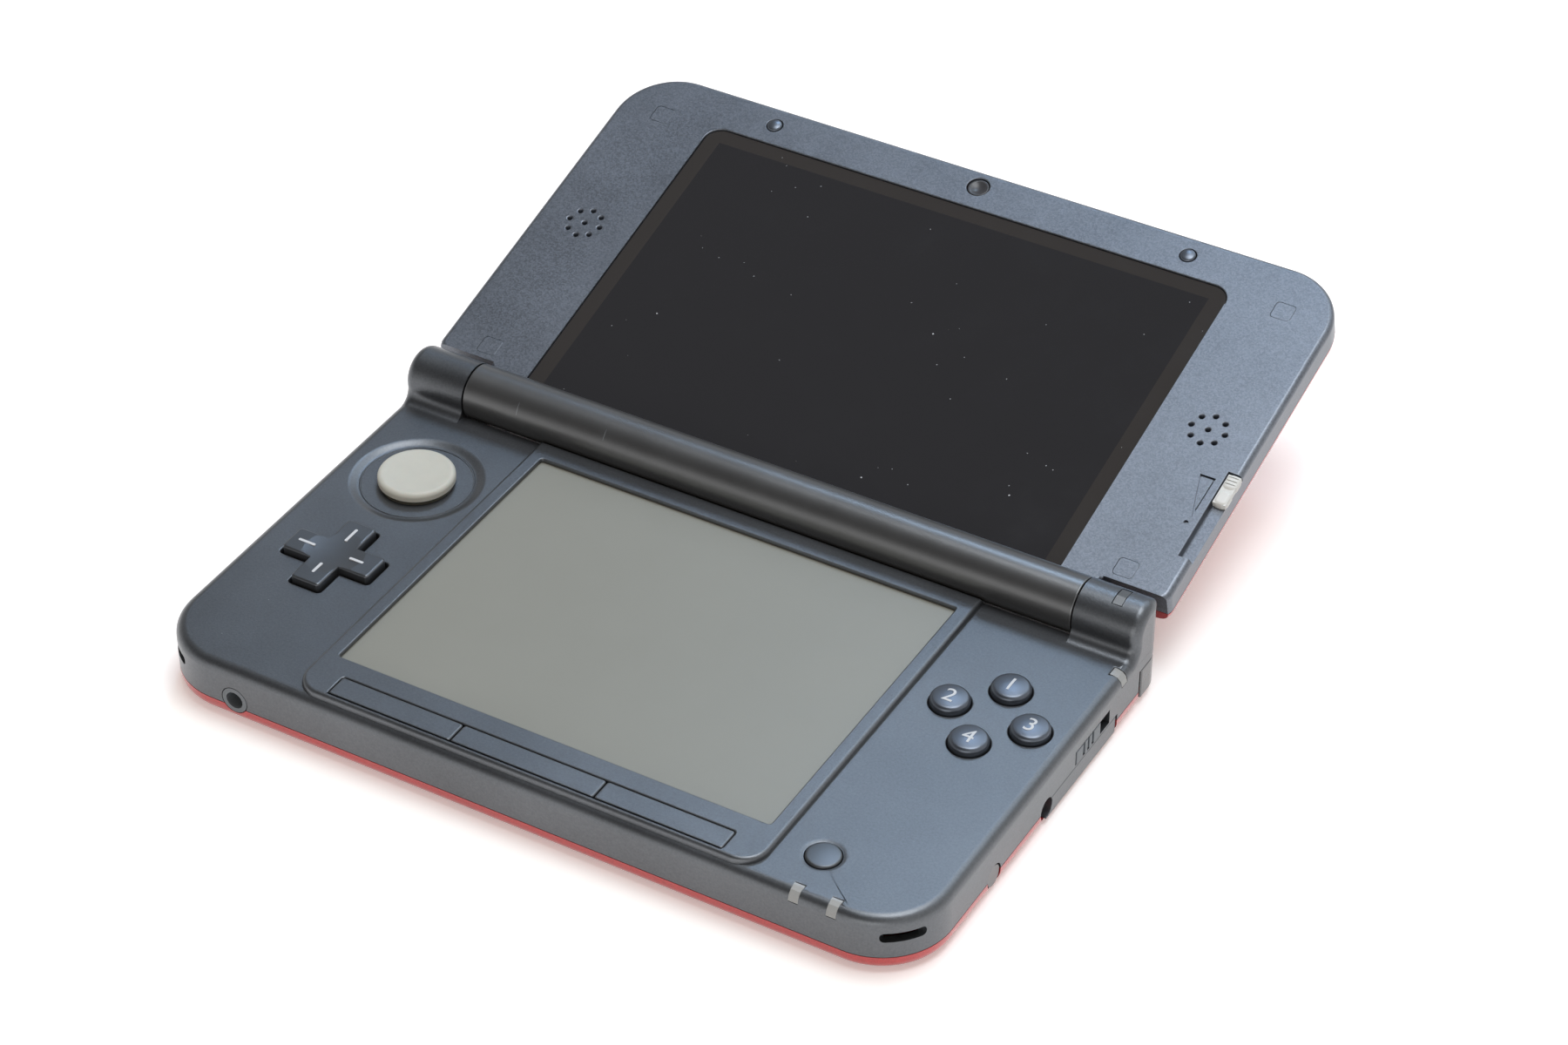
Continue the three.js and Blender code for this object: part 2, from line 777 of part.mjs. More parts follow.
function baseDeck() {
  const outer = topRoundedSlab(baseOutline(), partingHeight, deckTop, deckRound);
  const hollow = slab(baseOutline(baseWall), partingHeight - overrun, deckLow);
  const ledgeSide = knuckleInner + gap;
  const ledgeFront = hingeY - troughRadius - troughWall;
  const ledge = box(-ledgeSide, ledgeSide, ledgeFront, baseRear, ledgeLow, deckLow);
  const rightKnuckle = knuckleBlock();
  const prism = slab(baseOutline(), deckLow, hingeZ + barrelRadius + overrun);
  const knuckles = join(rightKnuckle, mirroredX(rightKnuckle)).intersect(prism);
  let body = join(cut(outer, hollow), touchScreenFrame());
  body = cut(body, drumX(troughRadius, -knuckleInner, knuckleInner, hingeY, hingeZ, barrelSides));
  body = join(body, ledge);
  body = cut(body, drumX(troughRadius, -knuckleInner, knuckleInner, hingeY, hingeZ, barrelSides));
  body = cut(body, box(-knuckleInner, knuckleInner, hingeY, baseRear + overrun, ledgeTop, reach));
  body = join(body, knuckles);
  const pinBore = hingePinRadius + gap;
  const boreEnd = halfWidth - hingePinInset;
  body = cut(body, drumX(pinBore, -boreEnd, -knuckleInner + overrun, hingeY, hingeZ, pegSides));
  body = cut(body, drumX(pinBore, knuckleInner - overrun, boreEnd, hingeY, hingeZ, pegSides));
  const screenSide = screenHalfWidth;
  const screen = roundedOutline(-screenSide, screenSide, screenFront, screenRear, screenCornerRadius);
  body = cut(body, slab(screen, deckLow - overrun, frameTop + overrun), panelPocket(lipLow));
  for (const [, left, right] of menuSpans()) {
    body = cut(body, slab(menuOutline(left, right, 0), deckLow - overrun, frameTop + overrun));
  }
  for (const [, x, y] of facePlaces()) {
    body = cut(body, throughDeck(faceButtonRadius + buttonClearance, x, y, buttonSides));
  }
  const powerHole = powerButtonRadius + buttonClearance;
  body = cut(body, throughDeck(powerHole, powerButtonX, powerButtonY, buttonSides));
  body = cut(body, padDish(), throughDeck(padHoleRadius, padCentreX, padCentreY, buttonSides));
  const crossHole = crossOutline(crossReach + crossClearance, crossHalfWidth + crossClearance);
  body = cut(body, slab(crossHole, deckLow - overrun, deckTop + overrun));
  body = cut(body, lightPipeBox(pipeFrontX, seam), lightPipeBox(pipeFrontX + pipePitch, seam));
  body = cut(body, sidePipeBox(seam), noticeBox(seam));
  const slot = strapSlot();
  body = cut(body, slot, mirroredX(slot), jackCut());
  body = cut(body, volumeSlot(), wirelessSlot());
  const pocket = shoulderPocket(gap, shoulderTravelRoom);
  body = cut(body, pocket, mirroredX(pocket));
  body = cut(body, doorWindow(gap), nailNotch(doorFront), stylusBoreCut(), nailNotch(stylusY));
  body = cut(body, gameSlotWindow(), inletWindow(), infraredWindow(seam));
  const pinTop = ledgeLow + overrun / 2;
  const pin = drumZ(shoulderPinRadius, bayLow + gap, pinTop, shoulderPivotX, shoulderPivotY, pegSides);
  return join(body, pin, mirroredX(pin));
}

function volumeSlot() {
  const half = volumeSlotHeight / 2;
  const rear = volumeSlotY + volumeSlotLength / 2;
  const front = rear - volumeSlotLength;
  const inner = overrun + baseWall - halfWidth;
  return box(-halfWidth - overrun, inner, front, rear, volumeSlotZ - half, volumeSlotZ + half);
}

function wirelessSlot() {
  const half = wirelessSlotHeight / 2;
  const rear = wirelessSlotY + wirelessSlotLength / 2;
  const front = rear - wirelessSlotLength;
  const inner = halfWidth - baseWall - overrun;
  return box(inner, halfWidth + overrun, front, rear, wirelessSlotZ - half, wirelessSlotZ + half);
}

// A fingernail scoop at the lower edge of the right side wall
function nailNotch(y) {
  return drumX(nailNotchRadius, halfWidth - doorThickness, halfWidth + overrun, y, partingHeight, pegSides);
}

// Base: the bottom cover, its edge curving in to a flat underside

function baseBottomCover() {
  const top = partingHeight - seam;
  const outer = bottomRoundedSlab(baseOutline(), 0, top, coverRoundHeight, coverRoundInset);
  const hollow = slab(baseOutline(coverWall), floorThickness, top + overrun);
  let body = cut(outer, hollow, jackCut());
  const pocket = shoulderPocket(gap, shoulderTravelRoom);
  body = cut(body, pocket, mirroredX(pocket));
  body = cut(body, doorWindow(gap), nailNotch(doorFront), stylusBoreCut(), nailNotch(stylusY));
  body = cut(body, gameSlotWindow(), inletWindow());
  for (const side of [-1, 1]) {
    const x = side * coverScrewX;
    const headTop = screwHeadRecess + screwHeadHeight + gap;
    body = cut(body, drumZ(screwHeadRadius + gap, -overrun, headTop, x, coverScrewY, pegSides));
    body = cut(body, drumZ(screwShankRadius + gap, -overrun, bayLow, x, coverScrewY, pegSides));
  }
  return body;
}

function coverScrew(side) {
  const x = side * coverScrewX;
  const headTop = screwHeadRecess + screwHeadHeight;
  const head = drumZ(screwHeadRadius, screwHeadRecess, headTop, x, coverScrewY, pegSides);
  const shankTop = headTop + screwShankLength;
  const shank = drumZ(screwShankRadius, headTop - seam, shankTop, x, coverScrewY, pegSides);
  const length = screwHeadRadius + screwShankRadius;
  const high = screwHeadRecess + screwSlotDepth;
  const slotA = centredBox(x, coverScrewY, length, screwSlotWidth, 0, high);
  const slotB = centredBox(x, coverScrewY, screwSlotWidth, length, 0, high);
  return cut(join(head, shank), slotA, slotB);
}

// Base: the tray that carries the battery, the stylus tube and the screw bosses

function batteryBox(margin, low, high) {
  const left = batteryLeft - margin;
  const front = batteryFront - margin;
  const right = batteryRight + margin;
  return box(left, right, front, batteryFront + batteryDepth + margin, low, high);
}

function baseTray() {
  const side = traySide;
  const front = baseFront + baseWall + gap;
  const rear = shoulderFront - shoulderTravelRoom - 2 * gap;
  const corner = frontCornerRadius - baseWall;
  const outline = roundedOutline(-side, side, front, rear, corner, gap);
  const plate = slab(outline, trayLow, trayLow + trayThickness);
  const rootTop = trayLow + trayThickness / 2;
  let body = join(plate, batteryBox(gap + batteryRim, bayLow, rootTop));
  const tubeInner = halfWidth - gap - stylusLength - 2 * gap - stylusTubeWall;
  const tubeSide = stylusBore + stylusTubeWall;
  body = join(body, box(tubeInner, side - gap, stylusY - tubeSide, stylusY + tubeSide, bayLow, rootTop));
  for (const edge of [-1, 1]) {
    const radius = screwShankRadius + gap + bossWall;
    body = join(body, drumZ(radius, bayLow, rootTop, edge * coverScrewX, coverScrewY, pegSides));
  }
  for (const edge of [-1, 1]) {
    const radius = screwShankRadius + gap;
    const high = screwHeadRecess + screwHeadHeight + screwShankLength + gap;
    body = cut(body, drumZ(radius, -overrun, high, edge * coverScrewX, coverScrewY, pegSides));
  }
  body = cut(body, batteryBox(gap, -overrun, trayLow + trayThickness + overrun));
  body = cut(body, drumX(stylusBore, tubeInner + stylusTubeWall, halfWidth, stylusY, stylusZ, pegSides));
  return cut(body, jackRoom(), gameSocketRoom());
}

function mainBoard() {
  const side = halfWidth - boardSideInset;
  const front = baseFront + boardFrontInset;
  const rear = baseRear - boardRearInset;
  const corner = frontCornerRadius - boardSideInset;
  let body = slab(roundedOutline(-side, side, front, rear, corner, gap), boardLow, boardTop);
  body = cut(body, jackRoom(), gameSocketRoom());
  const padSide = housingHalfWidth + gap;
  const padFront = padCentreY - housingHalfDepth - gap;
  const padRear = padCentreY + housingHalfDepth + gap;
  return cut(body, box(-halfWidth, padCentreX + padSide, padFront, padRear, 0, deckLow));
}

// Base: sockets and small parts

function gameCardSocket() {
  const side = gameSocketHalfWidth;
  const slotSide = gameSlotHalfWidth;
  const rear = baseRear - gap;
  const inside = baseRear - gameSlotDepth;
  const body = box(-side, side, gameSocketFront, rear, gameSocketLow, gameSocketTop);
  return cut(body, box(-slotSide, slotSide, inside, rear + overrun, gameSlotLow, gameSlotTop));
}

function memoryCardBox(margin, extra) {
  const right = doorInner - gap - memorySocketWall;
  const left = right - memoryCardLength;
  const half = memoryCardWidth / 2 + margin;
  const low = bayLow + memorySocketWall + gap;
  const high = low + memoryCardThickness + margin;
  return box(left - margin, right + extra, memoryCardY - half, memoryCardY + half, low - margin, high);
}

function memoryCardSocket() {
  const right = doorInner - gap;
  const left = right - memorySocketWall - memoryCardLength - gap - memorySocketWall;
  const half = memoryCardWidth / 2 + gap + memorySocketWall;
  const high = bayLow + 2 * memorySocketWall + 2 * gap + memoryCardThickness;
  const body = box(left, right, memoryCardY - half, memoryCardY + half, bayLow, high);
  return cut(body, memoryCardBox(gap, memorySocketWall + overrun));
}

function headphoneJack() {
  const rear = baseFront + jackLength;
  const body = drumY(jackRadius, baseFront, rear, jackX, jackZ, buttonSides);
  return cut(body, drumY(jackBore, baseFront - overrun, rear - overrun, jackX, jackZ, pegSides));
}

function powerInlet() {
  const rear = baseRear;
  const low = inletTop - inletHeight;
  const body = centredBox(inletX, rear - inletDepth / 2, inletWidth, inletDepth, low, inletTop);
  const slotLow = low + (inletHeight - inletSlotHeight) / 2;
  const slotY = rear - inletSlotDepth / 2 + overrun / 2;
  const slotTop = slotLow + inletSlotHeight;
  const slot = centredBox(inletX, slotY, inletSlotWidth, inletSlotDepth + overrun, slotLow, slotTop);
  const pinLow = low + (inletHeight - inletPinHeight) / 2;
  const pinDepth = inletSlotDepth + overrun;
  const pinY = rear - pinDepth / 2 - overrun;
  const pin = centredBox(inletX, pinY, inletPinWidth, pinDepth, pinLow, pinLow + inletPinHeight);
  return join(cut(body, slot), pin);
}

function lightPipes() {
  const block = topRoundedSlab(baseOutline(), partingHeight, deckTop, deckRound);
  const knuckle = knuckleBlock();
  piece("light_pipe_power", block.intersect(lightPipeBox(pipeFrontX, 0)), finishes.pipePlastic);
  piece("light_pipe_charge", block.intersect(lightPipeBox(pipeFrontX + pipePitch, 0)), finishes.pipePlastic);
  piece("light_pipe_wireless", block.intersect(sidePipeBox(0)), finishes.pipePlastic);
  piece("light_pipe_notice", knuckle.intersect(noticeBox(0)), finishes.pipePlastic);
}

function hingePin(side, bore) {
  const inner = knuckleInner - hingePinReach;
  const outer = halfWidth - hingePinInset - gap;
  let body = drumX(hingePinRadius, inner, outer, hingeY, hingeZ, pegSides);
  if (bore > 0) {
    body = cut(body, drumX(bore, inner - overrun, outer + overrun, hingeY, hingeZ, pegSides));
  }
  return side < 0 ? mirroredX(body) : body;
}

function buildBase() {
  piece("base_deck", baseDeck(), finishes.deckPlastic);
  piece("base_bottom_cover", baseBottomCover(), finishes.redCover);
  piece("base_tray", baseTray(), finishes.trayPlastic);
  const panelFront = screenFront - panelBorder;
  const panelSide = screenHalfWidth + panelBorder;
  const panelRear = screenRear + panelBorder;
  const panel = box(-panelSide, panelSide, panelFront, panelRear, touchPanelLow, touchPanelTop);
  piece("touch_panel", panel, finishes.touchGlass);
  const side = panelSide - displayInset;
  const display = box(
    -side, side, panelFront + displayInset, panelRear - displayInset, lowerDisplayLow, lowerDisplayTop,
  );
  piece("lower_display", display, finishes.lowerDisplayMetal);
  piece("main_board", mainBoard(), finishes.boardLaminate);
  piece("battery", batteryBox(0, bayLow, bayLow + batteryThickness), finishes.batteryWrap);
  piece("headphone_jack", headphoneJack(), finishes.jackPlastic);
  piece("game_card_socket", gameCardSocket(), finishes.socketPlastic);
  piece("memory_card_socket", memoryCardSocket(), finishes.pressedSheet);
  piece("memory_card", memoryCardBox(0, 0), finishes.cardPlastic);
  piece("power_inlet", powerInlet(), finishes.inletPlastic);
  const infraredBlock = box(-halfWidth, 0, baseRear - infraredDepth, baseRear, 0, deckTop);
  piece("infrared_window", infraredBlock.intersect(infraredWindow(0)), finishes.filterPlastic);
  lightPipes();
  piece("hinge_clutch", hingePin(1, 0), finishes.hingeSteel);
  piece("hinge_bush", hingePin(-1, hingePinBore), finishes.hingeSteel);
  piece("cover_screw_left", coverScrew(-1), finishes.screwSteel);
  piece("cover_screw_right", coverScrew(1), finishes.screwSteel);
}

// Buttons: a cap on a flange that stays under the deck

function roundButton(radius, top, x, y) {
  const flange = radius + flangeLip;
  const middle = radius - capRound * (1 - Math.SQRT1_2);
  return turned([
    [0, flangeLow],
    [flange, flangeLow],
    [flange, flangeTop],
    [radius, flangeTop],
    [radius, top - capRound],
    [middle, top - capRound * (1 - Math.SQRT1_2)],
    [radius - capRound, top],
    [0, top],
  ], x, y, buttonSides);
}

function menuButton(left, right) {
  const cap = slab(menuOutline(left, right, -buttonClearance), flangeLow, frameTop);
  const front = baseFront + menuFromFront + buttonClearance;
  const rear = baseFront + menuFromFront + menuDepth + menuLip;
  const flange = box(left + buttonClearance, right - buttonClearance, front, rear, flangeLow, flangeTop);
  return join(cap, flange);
}

function buildButtons() {
  for (const [name, x, y] of facePlaces()) {
    piece(name, roundButton(faceButtonRadius, deckTop + faceButtonRise, x, y), finishes.buttonPlastic);
  }
  const power = roundButton(powerButtonRadius, deckTop + powerButtonRise, powerButtonX, powerButtonY);
  piece("power_button", power, finishes.powerPlastic);
  for (const [name, left, right] of menuSpans()) {
    piece(name, menuButton(left, right), finishes.deckPlastic);
  }
  const faceHalf = faceSpread + faceButtonRadius + membraneMargin;
  const faceMembrane = drumZ(
    faceHalf, membraneLow, flangeLow - faceButtonTravel - pressRoom, faceCentreX, faceCentreY, buttonSides,
  );
  piece("face_button_membrane", faceMembrane, finishes.siliconeRubber);
  const menuHalf = menuCentreWidth / 2 + menuOuterWidth;
  const menuFront = baseFront + menuFromFront;
  const menuMembrane = box(
    -menuHalf, menuHalf, menuFront, menuFront + menuDepth, membraneLow, flangeLow - menuTravel - pressRoom,
  );
  piece("menu_button_membrane", menuMembrane, finishes.siliconeRubber);
}

// Circle pad: a housing, a carriage that slides sideways in it, and the cap that slides forwards on that

function padHousing() {
  const front = padCentreY - housingHalfDepth;
  const rear = padCentreY + housingHalfDepth;
  const side = housingHalfWidth;
  const body = box(padCentreX - side, padCentreX + side, front, rear, boardLow, housingTop);
  const halfWide = carriageHalfWidth + padTravel + gap;
  const halfDeep = carriageHalfDepth + gap;
  const low = housingTop - carriageThickness - gap;
  const high = housingTop + overrun;
  return cut(body, centredBox(padCentreX, padCentreY, 2 * halfWide, 2 * halfDeep, low, high));
}

function padCarriage() {
  const low = housingTop - carriageThickness;
  const width = 2 * carriageHalfWidth;
  const body = centredBox(padCentreX, padCentreY, width, 2 * carriageHalfDepth, low, housingTop);
  const slotWidth = 2 * (padPegRadius + gap);
  const slotDepth = slotWidth + 2 * padTravel;
  const slotTop = housingTop + overrun;
  return cut(body, centredBox(padCentreX, padCentreY, slotWidth, slotDepth, low - overrun, slotTop));
}

function circlePad() {
  const top = deckTop + padRise;
  const under = padDishFloor + gap;
  const underRadius = padCapRadius - padCapRound / 2;
  const rim = padCapRadius - padCapRound;
  return turned([
    [0, housingTop - carriageThickness],
    [padPegRadius, housingTop - carriageThickness],
    [padPegRadius, padSkirtLow],
    [padSkirtRadius, padSkirtLow],
    [padSkirtRadius, flangeTop],
    [padStemRadius, flangeTop],
    [padStemRadius, under],
    [underRadius, under],
    [padCapRadius, under + padCapRound / 2],
    [padCapRadius, top - padCapRound],
    [padCapRadius - padCapRound * (1 - Math.SQRT1_2), top - padCapRound * (1 - Math.SQRT1_2)],
    [rim, top],
    [rim / 2, top - padHollow * Math.SQRT1_2],
    [0, top - padHollow],
  ], padCentreX, padCentreY, padSides);
}

// Cross key: a cross on a wider cross under the deck, rocking on a post in its socket

function crossKey() {
  const flangeOutline = crossOutline(crossReach + crossFlangeLip, crossHalfWidth + crossFlangeLip);
  const flange = slab(flangeOutline, crossFlangeLow, crossFlangeTop);
  const cap = topRoundedSlab(
    crossOutline(crossReach, crossHalfWidth), crossFlangeLow, deckTop + crossRise, crossRound,
  );
  const socketTop = crossFlangeLow + crossPivotDrop + gap + flangeThickness;
  const socket = drumZ(
    crossPivotRadius + gap, crossFlangeLow - overrun, socketTop, crossCentreX, crossCentreY, pegSides,
  );
  return cut(join(flange, cap), socket);
}

function buildLeftControls() {
  piece("circle_pad_housing", padHousing(), finishes.housingPlastic);
  piece("circle_pad_carriage", padCarriage(), finishes.carriagePlastic);
  piece("circle_pad", circlePad(), finishes.padRubber);
  piece("cross_key", crossKey(), finishes.crossPlastic);
  const pivotLow = crossFlangeLow - crossPivotDrop;
  const pivotTop = crossFlangeLow + crossPivotDrop + flangeThickness;
  const pivot = drumZ(crossPivotRadius, pivotLow, pivotTop, crossCentreX, crossCentreY, pegSides);
  piece("cross_key_pivot", pivot, finishes.pivotRubber);
  const membraneTop = membraneLow + crossMembraneThickness;
  const membraneRadius = crossReach + crossFlangeLip;
  const membrane = drumZ(membraneRadius, membraneLow, membraneTop, crossCentreX, crossCentreY, buttonSides);
  piece("cross_key_membrane", membrane, finishes.siliconeRubber);
}

// Shoulder buttons, turning on upright pins at their inner ends

function shoulderButton() {
  const right = halfWidth + overrun;
  const corner = box(shoulderInner, right, shoulderFront, baseRear + overrun, bayLow, shoulderTop);
  const hollowFront = baseRear - baseWall;
  const hollow = box(
    shoulderPivotX + shoulderPivotInset, halfWidth - baseWall, shoulderFront - overrun, hollowFront,
    bayLow - overrun, shoulderTop - baseWall,
  );
  const bore = drumZ(shoulderPinRadius + gap, 0, deckTop, shoulderPivotX, shoulderPivotY, pegSides);
  return cut(slab(baseOutline(), bayLow, shoulderTop).intersect(corner), hollow, bore);
}

// Slide switches: a knob in the slot and a flange behind the wall

function slideSwitch(slotZ, slotHeight, knobFront, knobLength, standOut) {
  const high = slotHeight / 2 - seam;
  const inner = halfWidth - baseWall - gap - slideFlangeThickness;
  const knobRear = knobFront + knobLength;
  const knob = box(inner, halfWidth + standOut, knobFront, knobRear, slotZ - high, slotZ + high);
  const flangeRight = inner + slideFlangeThickness;
  const flange = box(
    inner, flangeRight, knobFront - slideFlangeLip, knobRear + slideFlangeLip,
    slotZ - high, slotZ + high + slideFlangeLip,
  );
  let body = join(knob, flange);
  for (let rib = 0; rib < knobRibs; rib += 1) {
    const y = knobFront + knobLength / 2 + (rib - (knobRibs - 1) / 2) * knobRibPitch;
    const half = knobRibWidth / 2;
    const left = halfWidth + standOut - knobRibDepth;
    const right = halfWidth + overrun;
    body = cut(body, box(left, right, y - half, y + half, slotZ - slotHeight, slotZ + slotHeight));
  }
  return body;
}

function stylus() {
  const outer = halfWidth - seam;
  const inner = outer - stylusLength;
  const body = drumX(stylusRadius, inner + stylusTipLength, outer, stylusY, stylusZ, pegSides);
  const tip = new THREE.CylinderGeometry(stylusRadius, stylusTipRadius, stylusTipLength + seam, pegSides);
  tip.rotateZ(-quarterTurn);
  tip.translate(inner + (stylusTipLength + seam) / 2, stylusY, stylusZ);
  return join(body, solid(tip));
}

function memoryCardDoor() {
  const radius = doorThickness / 2;
  const hingeX = halfWidth - radius;
  const panel = box(doorInner, halfWidth, doorFront, doorRear - radius, doorLow, doorTop);
  const roll = drumZ(radius, doorLow, doorTop, hingeX, doorRear - radius, pegSides);
  return cut(join(panel, roll), nailNotch(doorFront));
}

function buildSideParts() {
  const right = shoulderButton();
  piece("shoulder_button_right", right, finishes.shoulderPlastic);
  piece("shoulder_button_left", mirroredX(right), finishes.shoulderPlastic);
  const wirelessFront = wirelessSlotY - wirelessSlotLength / 2 + gap;
  const wireless = slideSwitch(
    wirelessSlotZ, wirelessSlotHeight, wirelessFront, wirelessKnobLength, wirelessKnobStandOut,
  );
  piece("wireless_switch", wireless, finishes.switchPlastic);
  const volumeFront = volumeSlotY - volumeKnobLength / 2;
  const volume = slideSwitch(
    volumeSlotZ, volumeSlotHeight, volumeFront, volumeKnobLength, volumeKnobStandOut,
  );
  piece("volume_slider", mirroredX(volume), finishes.switchPlastic);
  piece("stylus", stylus(), finishes.stylusPlastic);
  piece("memory_card_door", memoryCardDoor(), finishes.deckPlastic);
}

// Lid: the inner bezel with the barrel

function lidOutline(inset = 0) {
  return roundedOutline(
    inset - halfWidth,
    halfWidth - inset,
    lidNear + inset,
    lidLength - inset,
    Math.max(lidNearCornerRadius - inset, gap),
    lidFarCornerRadius - inset,
  );
}

function glassOutline(margin) {
  const side = glassHalfWidth + margin;
  const near = lidNear - margin;
  const farRadius = glassCornerRadius + margin;
  return roundedOutline(-side, side, near, glassFar + margin, glassNearCornerRadius, farRadius);
}

function displayBox(margin, low, high) {
  const side = glassHalfWidth - glassLedge + margin;
  return box(-side, side, lidNear + glassLedge - margin, glassFar - glassLedge + margin, low, high);
}

function speakerHoles(side) {
  const holes = [[0, 0]];
  for (let i = 0; i < speakerRingHoles; i += 1) {
    const angle = (2 * Math.PI * i) / speakerRingHoles;
    holes.push([speakerRingRadius * Math.cos(angle), speakerRingRadius * Math.sin(angle)]);
  }
  return holes.map(([x, y]) => {
    const centreX = side * speakerX + x;
    const high = bezelRise + overrun;
    return drumZ(speakerHoleRadius, bezelLow - overrun, high, centreX, speakerY + y, holeSides);
  });
}

function screwCoverPlaces() {
  return [
    ["screw_cover_near_left", -screwCoverX, screwCoverNearY],
    ["screw_cover_near_right", screwCoverX, screwCoverNearY],
    ["screw_cover_far_left", -screwCoverX, screwCoverFarY],
    ["screw_cover_far_right", screwCoverX, screwCoverFarY],
  ];
}

function screwCoverBlock(x, y, margin, low, high) {
  const half = screwCoverHalf + margin;
  return slab(roundedOutline(x - half, x + half, y - half, y + half, screwCoverRadius), low, high);
}

function depthSlot() {
  return box(
    halfWidth - depthSlotWidth, halfWidth + overrun, depthSlotNear, depthSlotFar,
    bezelRise - depthSlotDepth, bezelRise + overrun,
  );
}

function ribbonBox(margin, extra) {
  const half = ribbonWidth / 2 + margin;
  const low = -ribbonDrop - ribbonThickness - margin;
  const far = lidNear + glassLedge - upperDisplayMargin - gap + extra;
  return box(-ribbonCentreX - half, half - ribbonCentreX, -margin, far, low, margin - ribbonDrop);
}

function lidBezel() {
  const outer = topRoundedSlab(lidOutline(), lidParting, bezelRise, bezelRound);
  const hollow = slab(lidOutline(lidWall), lidParting - overrun, bezelLow);
  const barrelSide = barrelHalfLength - seam;
  const bridge = box(-barrelSide, barrelSide, 0, lidNear + lidWall, bridgeLow, bezelRise);
  const barrel = drumX(barrelRadius, -barrelSide, barrelSide, 0, 0, barrelSides);
  let body = join(cut(outer, hollow), bridge, barrel);
  body = cut(body, slab(glassOutline(gap), glassLow - gap, bezelRise + overrun));
  body = join(body, barrel);
  body = cut(body, displayBox(0, bezelLow - overrun, bezelRise));
  const boreRadius = hingePinRadius + gap;
  const rightBoreEnd = barrelSide - hingePinReach - gap;
  const leftBoreEnd = ribbonWidth / 2 + gap - ribbonCentreX;
  body = cut(body, drumX(boreRadius, rightBoreEnd, barrelSide + overrun, 0, 0, pegSides));
  body = cut(body, drumX(boreRadius, -barrelSide - overrun, leftBoreEnd, 0, 0, pegSides));
  body = cut(body, ribbonBox(gap, overrun));
  for (const side of [-1, 1]) body = cut(body, ...speakerHoles(side));
  body = cut(body, drumZ(lensRadius + seam, bezelLow - overrun, bezelRise + overrun, 0, lensY, pegSides));
  for (const side of [-1, 1]) {
    const inlayLow = bezelRise - inlayDepth - seam;
    const radius = bumperRadius + seam;
    body = cut(body, drumZ(radius, inlayLow, bezelRise + overrun, side * bumperX, bumperY, pegSides));
  }
  for (const [, x, y] of screwCoverPlaces()) {
    body = cut(body, screwCoverBlock(x, y, seam, bezelRise - inlayDepth - seam, bezelRise + overrun));
  }
  return cut(body, depthSlot());
}

function lidOuterCover() {
  const edge = outerCoverTop - lidOuter - seam;
  const outer = bottomRoundedSlab(lidOutline(), lidOuter, outerCoverTop, edge, outerCoverRoundInset);
  const hollow = slab(lidOutline(lidWall + gap), outerCoverFloor, outerCoverTop + overrun);
  const bores = [-1, 1].map((side) => {
    const x = (side * outerLensSpacing) / 2;
    const high = outerCoverTop + overrun;
    return drumZ(outerLensRadius + gap, lidOuter - overrun, high, x, outerLensY, pegSides);
  });
  return cut(outer, hollow, ...bores);
}

function innerCamera() {
  const top = bezelRise - lensRecess;
  const high = bezelLow - gap;
  const bodyY = lensY - lensRadius / 2;
  const body = centredBox(0, bodyY, 2 * cameraHalfWidth, 2 * cameraHalfDepth, high - cameraDepth, high);
  return join(body, drumZ(lensRadius, high - seam, top, 0, lensY, pegSides));
}

function outerCamera(side) {
  const x = (side * outerLensSpacing) / 2;
  const low = lidOuter - outerLensProud;
  return drumZ(outerLensRadius, low, low + outerCameraDepth, x, outerLensY, pegSides);
}

function bumper(side) {
  const low = bezelRise - inlayDepth;
  const top = bezelRise + bumperHeight;
  return turned([
    [0, low],
    [bumperRadius, low],
    [bumperRadius, bezelRise],
    [bumperRadius * Math.SQRT1_2, bezelRise + bumperHeight * Math.SQRT1_2],
    [0, top],
  ], side * bumperX, bumperY, pegSides);
}

function depthSlider() {
  const right = halfWidth + depthKnobProud;
  const left = halfWidth - depthSlotWidth + gap;
  const far = depthSlotFar - gap;
  const near = far - depthKnobLength;
  const low = bezelRise - depthSlotDepth + gap;
  const top = bezelRise + depthKnobProud;
  let body = box(left, right, near, far, low, top);
  for (let rib = 0; rib < depthKnobRibs; rib += 1) {
    const y = (near + far) / 2 + (rib - (depthKnobRibs - 1) / 2) * depthRibPitch;
    const [front, rear] = [y - depthRibWidth / 2, y + depthRibWidth / 2];
    const high = top + overrun;
    const groove = box(left - overrun, right + overrun, front, rear, top - depthRibDepth, high);
    const side = box(right - depthRibDepth, right + overrun, front, rear, low - overrun, high);
    body = cut(body, groove, side);
  }
  return body;
}

